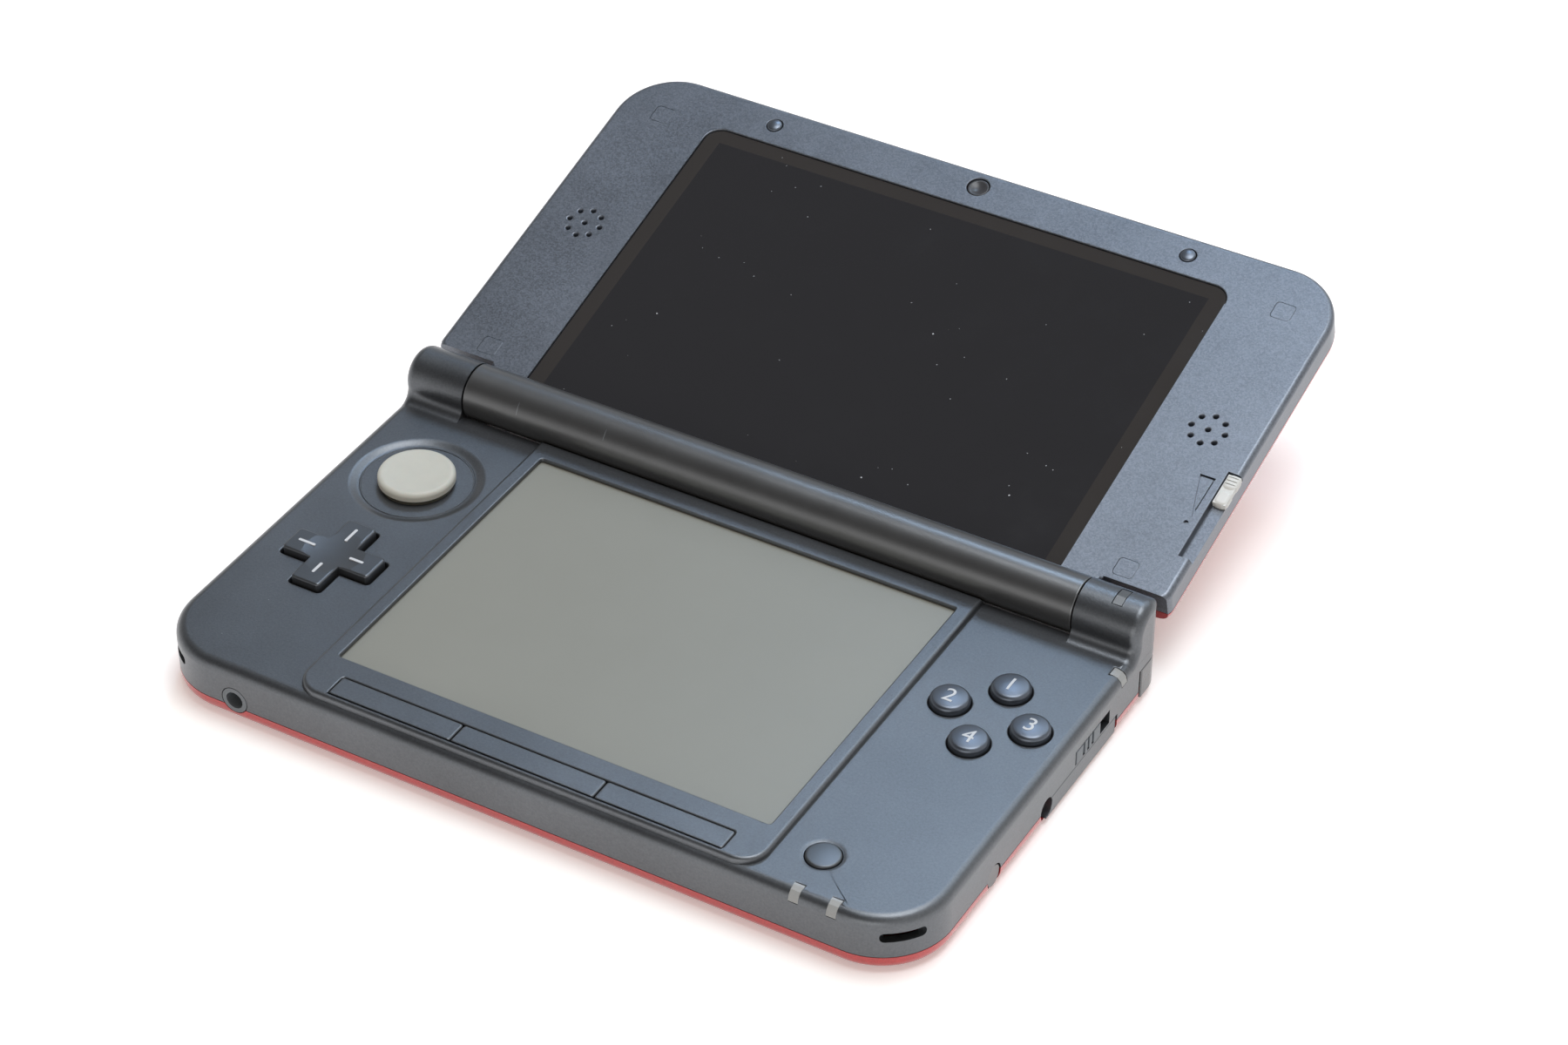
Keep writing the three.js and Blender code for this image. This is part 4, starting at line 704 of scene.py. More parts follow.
def touch_film():
    """Matt film over an unlit screen, with smudges, dust and fine hairs."""
    rgba = tint("touch")
    finish = Finish("touch_film", ior=1.45)
    smudge = finish.noise(18, detail=4, roughness=0.6)
    fine = finish.noise(0.16, detail=1)
    dust = finish.specks(6, 0.09, 0.25)
    hair = finish.specks(5, 0.04, 0.12, turn=28, stretch=(2.4, 0.6, 1))
    tone = smudge * 0.6 + fine * 0.4
    plain = finish.blend(tone, shade(rgba, 0.95), shade(rgba, 1.05))
    finish.feed("Base Color", finish.blend(dust * 0.5 + hair * 0.1, plain, tint("slider")))
    finish.feed("Roughness", 0.27 + smudge * 0.08 + dust * 0.3)
    finish.bump(fine, 0.004)
    return finish.material


def lens_glass():
    """Dark lens glass with a faint cloudy tone."""
    finish = Finish("lens_glass", ior=1.5)
    cloud = finish.noise(0.9, detail=2)
    dark, light = (0.02, 0.022, 0.026, 1), (0.05, 0.05, 0.056, 1)
    finish.feed("Base Color", finish.blend(cloud, dark, light))
    finish.feed("Roughness", 0.28 + cloud * 0.08)
    return finish.material


def brushed(name, rgba, roughness=0.32, along=(12, 0.25, 0.25)):
    """Metal with fine lines along one direction."""
    finish = Finish(name, metallic=1.0)
    lines = finish.noise(1, detail=4, roughness=0.7, stretch=along)
    finish.feed("Base Color", finish.blend(lines, shade(rgba, 0.75), shade(rgba, 1.15)))
    finish.feed("Roughness", roughness + (lines - 0.5) * 0.25)
    finish.bump(lines, 0.004)
    return finish.material


def silicone():
    return moulded("silicone", tint("rubber"), 0.72, grain=0.5, depth=0.01, wear=0.08)


def pad_rubber():
    """Pale rubber, a little greyer where thumbs rub it."""
    rgba = tint("pad")
    finish = Finish("pad_rubber", subsurface_weight=0.08, subsurface_scale=0.001)
    cloud = finish.noise(3.5, detail=4, roughness=0.6)
    fine = finish.noise(0.16, detail=2)
    finish.feed("Base Color", finish.blend(cloud, shade(rgba, 0.92), shade(rgba, 1.06)))
    finish.feed("Roughness", 0.52 + (cloud - 0.5) * 0.14)
    finish.bump(fine, 0.008)
    return finish.material


def pipe_plastic():
    return moulded("pipe_plastic", tint("pipe"), 0.3, grain=0.4, depth=0.004)


def board_laminate():
    """Green laminate with copper tracks under its mask and pale solder dots."""
    rgba = tint("board")
    finish = Finish("board_laminate")
    tracks = finish.node(
        "TexBrick", sockets={"Vector": finish.places(turn=45), "Scale": 0.35, "Mortar Size": 0.03},
        output="Fac",
    )
    dots = finish.specks(2.4, 0.42, 0.5)
    plain = finish.blend(tracks, rgba, shade(rgba, 1.7))
    finish.feed("Base Color", finish.blend(dots, plain, (0.55, 0.52, 0.42, 1)))
    finish.feed("Metallic", dots * 0.8)
    finish.feed("Roughness", 0.38 + tracks * 0.1)
    finish.bump(tracks + dots, 0.03)
    return finish.material


def flex_film():
    """Amber film over fine parallel conductors."""
    finish = Finish("flex_film", coat_weight=0.4)
    lines = finish.node(
        "TexWave", settings={"bands_direction": "X"},
        sockets={"Vector": finish.places(), "Scale": 0.6},
        output="Fac",
    )
    film, copper = (0.3, 0.12, 0.02, 1), (0.55, 0.27, 0.06, 1)
    finish.feed("Base Color", finish.blend(lines, film, copper))
    finish.feed("Roughness", 0.3 + lines * 0.15)
    finish.bump(lines, 0.02)
    return finish.material


def battery_wrap():
    """Shrink wrap with soft wrinkles."""
    finish = Finish("battery_wrap", coat_weight=0.3)
    wrinkles = finish.noise(5, detail=3, stretch=(1, 3, 1))
    dark, light = (0.035, 0.036, 0.04, 1), (0.06, 0.062, 0.068, 1)
    finish.feed("Base Color", finish.blend(wrinkles, dark, light))
    finish.feed("Roughness", 0.35 + wrinkles * 0.2)
    finish.bump(wrinkles, 0.08)
    return finish.material


def infrared_filter():
    """Dark red plastic that lets infrared through."""
    finish = Finish("infrared_filter", coat_weight=0.5)
    cloud = finish.noise(2, detail=2)
    dark, light = (0.012, 0.002, 0.004, 1), (0.03, 0.005, 0.01, 1)
    finish.feed("Base Color", finish.blend(cloud, dark, light))
    finish.feed("Roughness", 0.12 + cloud * 0.06)
    return finish.material


FINISH_MAKERS = {
    "deck": deck_plastic,
    "bezel": bezel_paint,
    "barrel": barrel_plastic,
    "cover": cover_paint,
    "glass": upper_glass,
    "touch": touch_film,
    "lens": lens_glass,
    "pad": pad_rubber,
    "pipe": pipe_plastic,
    "silicone": silicone,
    "board": board_laminate,
    "flex": flex_film,
    "battery": battery_wrap,
    "infrared": infrared_filter,
    "button": lambda: moulded("button_plastic", tint("button"), 0.34, depth=0.004, metallic=0.85),
    "cross": lambda: moulded("cross_plastic", tint("deck"), 0.36, depth=0.006, metallic=0.85),
    "switch": lambda: moulded("switch_plastic", (0.13, 0.15, 0.17, 1), 0.42),
    "shoulder": lambda: moulded(
        "shoulder_plastic", tint("barrel"), 0.28, depth=0.003, metallic=0.85
    ),
    "black": lambda: moulded("black_plastic", (0.012, 0.012, 0.014, 1), 0.45),
    "inner": lambda: moulded("inner_plastic", (0.016, 0.017, 0.019, 1), 0.55, grain=0.4),
    "slider": lambda: moulded("slider_plastic", tint("slider"), 0.42, grain=0.3, depth=0.006),
    "card": lambda: moulded("card_plastic", (0.016, 0.035, 0.09, 1), 0.45),
    "marking": lambda: moulded("marking_ink", tint("marking"), 0.5, grain=0.3, depth=0.002),
    "steel": lambda: brushed("hinge_steel", (0.55, 0.56, 0.58, 1)),
    "sheet": lambda: brushed("pressed_sheet", (0.6, 0.61, 0.63, 1), 0.28),
    "display": lambda: brushed("display_metal", (0.32, 0.33, 0.34, 1), 0.36),
}
made_finishes = {}


def finish_of(name):
    """The material of a finish, made on its first use."""
    if name not in made_finishes:
        made_finishes[name] = FINISH_MAKERS[name]()
    return made_finishes[name]


# Cutters that the shells and the parts in them share


def base_plate(low, high, inset=0, **rounds):
    """The base's outline in plan as a plate."""
    base = sizes("base")
    side = base.half_width - inset
    return plate(
        -side, side, base.front + inset, base.rear - inset, low, high,
        base.front_corner - inset, base.rear_corner - inset, **rounds,
    )


def front_pipe(x, margin):
    """Room for a light pipe that shows on the deck and the front wall."""
    base = sizes("base")
    half, depth, drop = 0.8 + margin, 2.5 + margin, 2.1 + margin
    return block(
        x - half, x + half, base.front - margin, base.front + depth,
        base.deck_top - drop, base.deck_top + 1,
    )


def side_pipe(margin):
    """Room for the light pipe that shows on the deck and the right wall."""
    base = sizes("base")
    place, half, depth, drop = 31, 1 + margin, 2.5 + margin, 2.1 + margin
    return block(
        base.half_width - depth, base.half_width + margin, place - half, place + half,
        base.deck_top - drop, base.deck_top + 1,
    )


def notice_pipe(margin):
    """Room for the light pipe on top of the right knuckle."""
    hinge = sizes("hinge")
    top = hinge.z + hinge.barrel
    place, across, along = 72, 0.9 + margin, 2.2 + margin
    return block(
        place - across, place + across, hinge.y - along, hinge.y + along,
        top - 1 - margin, top + 1,
    )


def knuckle():
    """The right knuckle: a drum end that curves down to the deck."""
    hinge, base = sizes("hinge"), sizes("base")
    fillet_z = base.deck_top + hinge.fillet
    reach = hinge.barrel + hinge.fillet
    drop = hinge.z - fillet_z
    fillet_y = hinge.y - math.sqrt(reach * reach - drop * drop)
    towards = math.degrees(math.atan2(drop, hinge.y - fillet_y))
    foot = base.deck_low - 2 * hinge.end_round
    outline = [(fillet_y, foot)]
    outline += arc((fillet_y, fillet_z), hinge.fillet, -90, towards, 14)
    outline += arc((hinge.y, hinge.z), hinge.barrel, towards + 180, 0, 48)[1:]
    outline += [(base.rear, foot)]
    start = hinge.barrel_half + base.seam
    shape = extruded([(start - 5, y, z) for y, z in outline], (base.half_width - start + 5, 0, 0))
    loop = edges_where(shape, lambda place: place.x > base.half_width - TINY)
    round_edges(shape, loop, hinge.end_round, EDGE_STEPS)
    inside = base_plate(base.deck_low, hinge.z + hinge.barrel + 1)
    return cut(combine(shape, "INTERSECT", inside), block(0, start, 0, 60, 0, 40))


def shoulder_pocket():
    """Room for the right shoulder button in the rear corner."""
    base = sizes("base")
    return block(53.1, base.half_width + 1, 37.2, base.rear + 1, base.bay_low - 0.3, 8.42)


def strap_slot():
    """The slot for a strap across the right front corner."""
    base = sizes("base")
    slot = block(-4.1, 4.1, -2, 2, -1, 1)
    ends = [edge for edge in slot.edges if abs(edge.verts[0].co.y - edge.verts[1].co.y) > 1]
    round_edges(slot, ends, 0.85, EDGE_STEPS)
    bmesh.ops.rotate(slot, matrix=Matrix.Rotation(math.pi / 4, 3, "Z"), verts=slot.verts)
    inset = base.front_corner * (1 - math.sqrt(0.5))
    height = 8.1
    place = (base.half_width - inset, base.front + inset, height)
    bmesh.ops.translate(slot, vec=place, verts=slot.verts)
    return slot


def nail_notch(y):
    """A fingernail's notch in the right wall, across both shells."""
    base = sizes("base")
    return lying_drum(2.2, base.half_width - 1.4, base.half_width + 1, y, base.parting, "X", 32)


def jack_bore():
    base = sizes("base")
    radius, depth, x, height = 2.75, 8.8, -59.1, 5.1
    return lying_drum(radius, base.front - 1, base.front + depth, x, height, "Y", 48)


def side_openings():
    """Openings that both shells of the base share."""
    base = sizes("base")
    right, rear = base.half_width + 1, base.rear + 1
    door_notch, stylus = 1.5, -17.9
    door = block(base.half_width - 2.4, right, 1.35, 28.65, 1.15, 5.05)
    stylus_end = lying_drum(2.4, base.half_width - 4.2, right, stylus, 3.6, "X", 32)
    card_slot = block(-18.8, 18.8, base.rear - 2.6, rear, 2.22, 8.27)
    inlet = block(26.7, 37.3, base.rear - 2.6, rear, 3.62, 8.42)
    return [
        jack_bore(),
        shoulder_pocket(),
        mirrored(shoulder_pocket()),
        door,
        nail_notch(door_notch),
        nail_notch(stylus),
        stylus_end,
        card_slot,
        inlet,
    ]


def deck_openings():
    """Openings for the controls on the deck."""
    base, screens, controls = sizes("base"), sizes("screens"), sizes("controls")
    low, high = base.deck_low - 1, base.frame_top + 1
    room = controls.clearance
    side, under = screens.half_width, screens.border + 0.3
    tools = [
        plate(-side, side, screens.front, screens.rear, low, high, screens.corner),
        block(
            -side - under, side + under, screens.front - under, screens.rear + under,
            low, screens.lip_low,
        ),
        plate(
            -controls.menu_half, controls.menu_half, controls.menu_front, controls.menu_rear,
            low, high, 0.7,
        ),
        cross_plate(controls.cross_reach + 0.45, controls.cross_half + 0.45, low, high, 0.8),
    ]
    for x, y in face_places():
        tools.append(drum(controls.face_radius + room, low, high, x, y))
    dish = dish_profile(low, high)
    tools.append(turned(dish, controls.pad_x, controls.pad_y))
    radius, step = controls.power_radius, base.deck_top - 0.35
    ring = [
        (0, low), (radius + room, low), (radius + room, step), (radius + 0.35, step),
        (radius + 1, base.deck_top), (radius + 1, high), (0, high),
    ]
    tools.append(turned(ring, controls.power_x, controls.power_y))
    return tools


def dish_profile(low, high):
    """The hole for the circle pad and the dish round it, with a fine ridge on its floor."""
    base, controls = sizes("base"), sizes("controls")
    hole, depth, ridge_height, steps = 6.95, 0.6, 0.12, 12
    inner, outer = controls.dish_radius, controls.dish_radius + controls.dish_slope
    floor = base.deck_top - depth
    ridge = floor + ridge_height
    profile = [
        (0, low), (hole, low), (hole, floor), (inner - 0.42, floor), (inner - 0.3, ridge),
        (inner - 0.16, ridge), (inner - 0.04, floor - 0.05),
    ]
    for step in range(steps + 1):
        share = step / steps
        drop = depth / 2 * (1 + math.cos(math.pi * share))
        profile.append((inner + (outer - inner) * share, base.deck_top - drop))
    return [*profile, (outer, high), (0, high)]


def face_places():
    controls = sizes("controls")
    x, y, out = controls.face_x, controls.face_y, controls.face_spread
    return [(x, y + out), (x - out, y), (x + out, y), (x, y - out)]


def cross_plate(reach, half, low, high, corner, top=0):
    """A cross in plan, raised from one height to another."""
    controls = sizes("controls")
    arms = [
        (-half, -reach), (half, -reach), (half, -half), (reach, -half),
        (reach, half), (half, half), (half, reach), (-half, reach),
        (-half, half), (-reach, half), (-reach, -half), (-half, -half),
    ]
    outline = [(controls.pad_x + x, controls.cross_y + y, low) for x, y in arms]
    shape = extruded(outline, (0, 0, high - low))
    upright = [
        edge for edge in shape.edges
        if abs(edge.verts[0].co.z - edge.verts[1].co.z) > TINY and edge.is_convex
    ]
    round_edges(shape, upright, corner, EDGE_STEPS)
    if top:
        round_edges(shape, edges_where(shape, level(high)), top, EDGE_STEPS)
    return shape


# Pieces of the base


def build_top_shell():
    base, hinge = sizes("base"), sizes("hinge")
    start = hinge.barrel_half + base.seam
    shell = base_plate(base.parting, base.deck_top, top=base.deck_round)
    shell = cut(shell, base_plate(base.parting - 1, base.deck_low, base.wall))
    side = base.frame_half_width
    shell = join(shell, plate(
        -side, side, base.frame_front, hinge.y, base.deck_low, base.frame_top,
        base.frame_corner, 1.2, top=base.frame_round,
    ))
    radius = hinge.barrel + hinge.trough_gap
    ledge_top = hinge.z - radius
    ledge_low = ledge_top - hinge.trough_wall
    ledge = block(
        -start - 0.3, start + 0.3, hinge.y - radius - hinge.trough_wall, base.rear,
        ledge_low, base.deck_low + 0.5,
    )
    shell = cut(
        join(shell, ledge),
        lying_drum(radius, -start, start, hinge.y, hinge.z, "X", 96),
        block(-start, start, hinge.y, base.rear + 1, ledge_top, hinge.z + 9),
    )
    right = knuckle()
    shell = join(shell, mirrored(right), right)
    bore = hinge.pin + 0.3
    end = base.half_width - hinge.pin_inset
    volume_slot = block(-base.half_width - 1, -75.4, -2, 14, 6.1, 8.7)
    switch_slot = block(75.4, base.half_width + 1, 12.2, 25.4, 5.4, 8.4)
    infrared_slot = block(-40.15, -31.85, base.rear - 3.2, base.rear + 1, 4.37, 7.67)
    tools = [
        lying_drum(bore, -end, 1 - start, hinge.y, hinge.z, "X", 32),
        lying_drum(bore, start - 1, end, hinge.y, hinge.z, "X", 32),
        front_pipe(55.1, base.seam),
        front_pipe(62.3, base.seam),
        side_pipe(base.seam),
        notice_pipe(base.seam),
        strap_slot(),
        mirrored(strap_slot()),
        volume_slot,
        switch_slot,
        infrared_slot,
    ]
    shell = cut(shell, *deck_openings(), *side_openings(), *tools)
    soften(shell, 0.3, level(base.deck_top, base.frame_top))
    pins = [drum(0.9, 1.8, ledge_low + 0.5, side * 56.9, 43, 32) for side in (-1, 1)]
    shell = join(shell, *pins)
    settle(shell, "top_shell", "base", "deck", "base_deck")


def build_bottom_shell():
    base = sizes("base")
    top = base.parting - base.seam
    shell = base_plate(0, top, bottom=base.cover_round_height, inset_round=base.cover_round_inset)
    tools = [base_plate(base.floor, top + 1, base.cover_wall), *side_openings()]
    screw_y, screw_head, screw_shank = 31, 2.5, 1.2
    for x in (-44, 44):
        tools.append(drum(screw_head, -1, base.floor, x, screw_y, 48))
        tools.append(drum(screw_shank, -1, base.floor + 0.4, x, screw_y, 48))
    shell = cut(shell, *tools)
    soften(shell, 0.15, level(0))
    settle(shell, "bottom_shell", "base", "cover", "base_bottom_cover")


def build_touch_screen():
    screens = sizes("screens")
    side = screens.half_width + screens.border
    panel = plate(
        -side, side, screens.front - screens.border, screens.rear + screens.border,
        screens.panel_low, screens.panel_top, 0.5, top=0.12,
    )
    settle(panel, "touch_screen", "base", "touch", "touch_panel")


def domed(radius, top, sag, edge):
    """Points from a button's side over its rounded edge to the middle of its domed top."""
    points = []
    for step in range(9):
        angle = math.radians(90 * step / 8)
        out = radius - edge * (1 - math.cos(angle))
        points.append((out, top - sag * (out / radius) ** 2 - edge * (1 - math.sin(angle))))
    for step in range(1, 11):
        out = (radius - edge) * (1 - step / 10)
        points.append((out, top - sag * (out / radius) ** 2))
    return points


def round_button(radius, top, sag, edge, x, y):
    controls = sizes("controls")
    flange = radius + 0.75
    return turned([
        (0, controls.flange_low), (flange, controls.flange_low), (flange, controls.flange_top),
        (radius, controls.flange_top), *domed(radius, top, sag, edge),
    ], x, y)


def numeral(text, name, body, x, y, top, sag, radius, height):
    """A printed numeral that follows a button's dome."""
    curve = bpy.data.curves.new(name, "FONT")
    curve.body, curve.size, curve.extrude = text, height, 0.05
    curve.align_x = "CENTER"
    curve.align_y = "CENTER"
    holder = bpy.data.objects.new(name, curve)
    bpy.context.scene.collection.objects.link(holder)
    shape = bmesh.new()
    shape.from_mesh(holder.to_mesh())
    holder.to_mesh_clear()
    bpy.data.objects.remove(holder)
    bpy.data.curves.remove(curve)
    spans = [[vert.co[axis] for vert in shape.verts] for axis in (0, 1)]
    centre = Vector([(min(span) + max(span)) / 2 for span in spans] + [0])
    bmesh.ops.remove_doubles(shape, verts=shape.verts, dist=TINY)
    bmesh.ops.recalc_face_normals(shape, faces=shape.faces)
    pitch, cuts = 0.25, range(-9, 10)
    for normal in (Vector((1, 0, 0)), Vector((0, 1, 0))):
        for step in cuts:
            bmesh.ops.bisect_plane(
                shape, geom=[*shape.verts, *shape.edges, *shape.faces],
                plane_co=centre + normal * step * pitch, plane_no=normal,
            )
    for vert in shape.verts:
        vert.co.z -= sag * ((vert.co.xy - centre.xy).length / radius) ** 2
    bmesh.ops.translate(shape, vec=Vector((x, y, top)) - centre, verts=shape.verts)
    return settle(shape, name, body, "marking")


def build_face_buttons():
    radius = sizes("controls").face_radius
    top, sag, edge, height = 14, 0.42, 0.7, 4.7
    words = ("rear", "left", "right", "front")
    for number, (word, (x, y)) in enumerate(zip(words, face_places()), 1):
        node = f"face_button_{word}"
        button = round_button(radius, top, sag, edge, x, y)
        settle(button, f"face_key_{word}", node, "button", node)
        numeral(str(number), f"numeral_{word}", node, x, y, top, sag, radius, height)


def build_power_button():
    controls = sizes("controls")
    top, sag, edge = 12.4, 0.14, 0.4
    button = round_button(
        controls.power_radius, top, sag, edge, controls.power_x, controls.power_y
    )
    settle(button, "power_key", "power_button", "cross", "power_button")


def build_menu_buttons():
    base, controls = sizes("base"), sizes("controls")
    room = 0.09
    inner, outer = controls.menu_inner, controls.menu_half
    spans = {"select": (-outer, -inner), "home": (-inner, inner), "start": (inner, outer)}
    for word, (left, right) in spans.items():
        left, right = left + room, right - room
        front, rear = controls.menu_front + room, controls.menu_rear - room
        key = plate(left, right, front, rear, controls.flange_low, base.frame_top, 0.6, top=0.4)
        flange = block(left, right, front, rear + 0.7, controls.flange_low, controls.flange_top)
        node = f"{word}_button"
        settle(join(key, flange), f"menu_key_{word}", node, "deck", node)


def build_circle_pad():
    base, controls = sizes("base"), sizes("controls")
    top, edge = base.deck_top + 2, 0.9
    under = base.deck_top - 0.05
    rim = controls.pad_radius - edge
    profile = [
        (0, 8.5), (1.2, 8.5), (1.2, 9.5), (10.35, 9.5), (10.35, 10.3), (3, 10.3), (3, under),
        (controls.pad_radius - 0.45, under), (controls.pad_radius, under + 0.45),
    ]
    profile += arc((rim, top - edge), edge, 0, 90, 8)
    for step in range(1, 15):
        out = rim * (1 - step / 14)
        profile.append((out, top - 0.35 * (1 - (out / rim) ** 2) ** 0.8))
    pad = turned(profile, controls.pad_x, controls.pad_y)
    settle(pad, "pad_cap_rubber", "pad_cap", "pad", "circle_pad")


def build_cross_key():
    base, controls = sizes("base"), sizes("controls")
    low, top = 9.1, base.deck_top + 1.4
    reach, half = controls.cross_reach, controls.cross_half
    key = join(
        cross_plate(reach, half, low, top, 0.75, top=0.5),
        cross_plate(reach + 0.8, half + 0.8, low, low + 0.65, 0.4),
    )
    x, y = controls.pad_x, controls.cross_y
    hollow = turned([(0, top - 0.3)] + [
        (6.5 * step / 12, top - 0.3 + 0.35 * (step / 12) ** 2) for step in range(1, 13)
    ] + [(6.5, top + 1), (0, top + 1)], x, y)
    key = cut(key, hollow, drum(2.1, low - 1, 11, x, y, 32))
    settle(key, "direction_key", "cross", "cross", "cross_key")
    lines = [(-5.9, 0, 1.8, 0.28), (5, 0, 1.5, 0.28), (0, 5.6, 0.28, 1.9), (0, -5.2, 0.28, 1.5)]
    for number, (along, across, wide, deep) in enumerate(lines, 1):
        line = plate(
            x + along - wide, x + along + wide, y + across - deep, y + across + deep,
            top - 0.3, top + 0.03, 0.2,
        )
        settle(line, f"key_line_{number}", "cross", "marking")


# Pieces of the lid, modelled in its own plane

LENS_Y = 83.2
BUMPERS_X = (-45.4, 45.4)
BUMPER_Y = 82.6
BUMPER_RADIUS = 1.55
OUTER_LENSES_X = (-17.5, 17.5)
OUTER_LENS_Y = 80


def lid_plate(low, high, inset=0, **rounds):
    base, lid = sizes("base"), sizes("lid")
    side = base.half_width - inset
    return plate(
        -side, side, lid.near + inset, lid.far - inset, low, high,
        max(lid.near_corner - inset, 0.3), lid.far_corner - inset, **rounds,
    )


def glass_plate(margin, low, high, **rounds):
    screens, lid = sizes("screens"), sizes("lid")
    side = screens.glass_half_width + margin
    return plate(
        -side, side, lid.near - margin, screens.glass_far + margin, low, high,
        0.8, screens.glass_corner + margin, **rounds,
    )


def build_lid_frame():
    base, hinge, lid, screens = sizes("base"), sizes("hinge"), sizes("lid"), sizes("screens")
    end = hinge.barrel_half - base.seam
    shell = lid_plate(lid.parting, lid.top, top=lid.bezel_round)
    shell = cut(shell, lid_plate(lid.parting - 1, lid.bezel_low, lid.wall))
    barrel = lying_drum(hinge.barrel, -end, end, 0, 0, "X", 96)
    soften(barrel, 0.25, everywhere)
    core = barrel.copy()
    shell = join(shell, block(-end, end, 0, lid.near + lid.wall, lid.bridge_low, lid.top), barrel)
    shell = cut(shell, glass_plate(0.07, screens.glass_low - 0.3, lid.top + 1))
    shell = join(shell, core)
    window = block(
        2.5 - screens.glass_half_width, screens.glass_half_width - 2.5, lid.near + 2.5,
        screens.glass_far - 2.5, lid.bezel_low - 1, lid.top,
    )
    bore = hinge.pin + 0.3
    cable_left, cable_right = -52.3, -33.7
    tools = [
        window,
        lying_drum(bore, end - hinge.pin_reach - 0.3, end + 1, 0, 0, "X", 32),
        lying_drum(bore, -end - 1, cable_right, 0, 0, "X", 32),
        block(cable_left, cable_right, -0.3, lid.near + 2.2, -3.1, -2.1),
        drum(2.3, lid.bezel_low - 1, lid.top + 1, 0, LENS_Y),
        depth_slot(),
        *speaker_holes(),
        *knuckle_notches(),
        *depth_marks(),
    ]
    fine = [(72.3, 29.5, 2.1, 6.5)]
    for x, y in screw_cover_places():
        tools.append(screw_cover(x, y, 0.04, lid.top - 1.15, lid.top + 1))
        fine.append((x, y, 2.5, 2.5))
    for x in BUMPERS_X:
        tools.append(drum(1.68, lid.top - 1.15, lid.top + 1, x, BUMPER_Y))
    shell = cut(shell, *tools)

    def plain(place):
        """On the inner face, beyond the barrel and away from the fine marks."""
        return abs(place.z - lid.top) < TINY and place.y > 7.5 and all(
            abs(place.x - x) > wide or abs(place.y - y) > deep for x, y, wide, deep in fine
        )

    soften(shell, 0.18, plain)

    def paint(centre):
        return int(math.hypot(centre.y - hinge.y, centre.z - hinge.z) < hinge.barrel + 0.05)

    settle(
        shell, "lid_frame", "lid", ("bezel", "barrel"), "lid_bezel",
        on_lid=True, paint=paint,
    )


def knuckle_notches():
    """Room between the lid's near edge and both knuckles."""
    base, hinge = sizes("base"), sizes("hinge")
    right = block(hinge.barrel_half + 0.4, base.half_width + 1, 0, 7, -9, 2)
    return [right, mirrored(right)]


def depth_slot():
    """The depth slider's slot, with the narrow groove that guides its foot."""
    base, lid = sizes("base"), sizes("lid")
    inner, groove, outer = base.half_width - 2.7, base.half_width - 2.2, base.half_width + 1
    low, ledge, high = lid.bezel_low + 0.3, lid.top - 1.3, lid.top + 1
    outline = [
        (inner, low), (groove, low), (groove, ledge), (outer, ledge), (outer, high), (inner, high),
    ]
    start, reach = 16.5, 21.1
    return extruded([(x, start, z) for x, z in outline], (0, reach, 0))


def speaker_holes():
    """A ring of eight countersunk holes round a ninth, on both sides."""
    low, top = sizes("lid").bezel_low - 1, sizes("lid").top
    hole = [
        (0, low), (0.5, low), (0.5, top - 0.2), (0.61, top - 0.06), (0.85, top + 0.04),
        (0.85, top + 1), (0, top + 1),
    ]
    places = [(0, 0)] + arc((0, 0), 3.4, 0, 315, 7)
    return [turned(hole, side + x, 45.1 + y, 20) for side in (-67.5, 67.5) for x, y in places]


def depth_marks():
    """The engraved wedge and dot beside the depth slider."""
    lid = sizes("lid")
    low = lid.top - 0.45
    wide = [(70.75, 35.15), (73.9, 35.15), (73.75, 25.1)]
    slim = [(71.35, 34.65), (73.62, 34.65), (73.53, 27.2)]
    push = (0, 0, lid.top + 1 - low)
    groove = cut(
        extruded([(x, y, low) for x, y in wide], push),
        extruded([(x, y, low - 1) for x, y in slim], (0, 0, lid.top + 3 - low)),
    )
    return [groove, drum(0.45, low, lid.top + 1, 73.25, 23.95, 24)]


def screw_cover_places():
    return [(-68, 10.15), (68, 10.15), (-68, 76.6), (68, 76.6)]


def screw_cover(x, y, margin, low, high, **rounds):
    half = 2 + margin
    return plate(x - half, x + half, y - half, y + half, low, high, 0.8 + margin, **rounds)


def build_lid_cover():
    lid = sizes("lid")
    top = lid.parting - 0.15
    shell = lid_plate(lid.outer, top, bottom=2.2, inset_round=lid.cover_inset)
    tools = [lid_plate(lid.cover_floor, top + 1, lid.wall + 0.3)]
    tools += [drum(2.55, lid.outer - 1, top + 1, x, OUTER_LENS_Y, 48) for x in OUTER_LENSES_X]
    tools += knuckle_notches()
    shell = cut(shell, *tools)
    soften(shell, 0.2, level(lid.outer))
    settle(shell, "lid_back", "lid", "cover", "lid_outer_cover", on_lid=True)


def build_upper_glass():
    screens = sizes("screens")
    pane = glass_plate(0, screens.glass_low, screens.glass_top, top=0.14)
    settle(pane, "screen_glass", "lid", "glass", "upper_glass", on_lid=True)


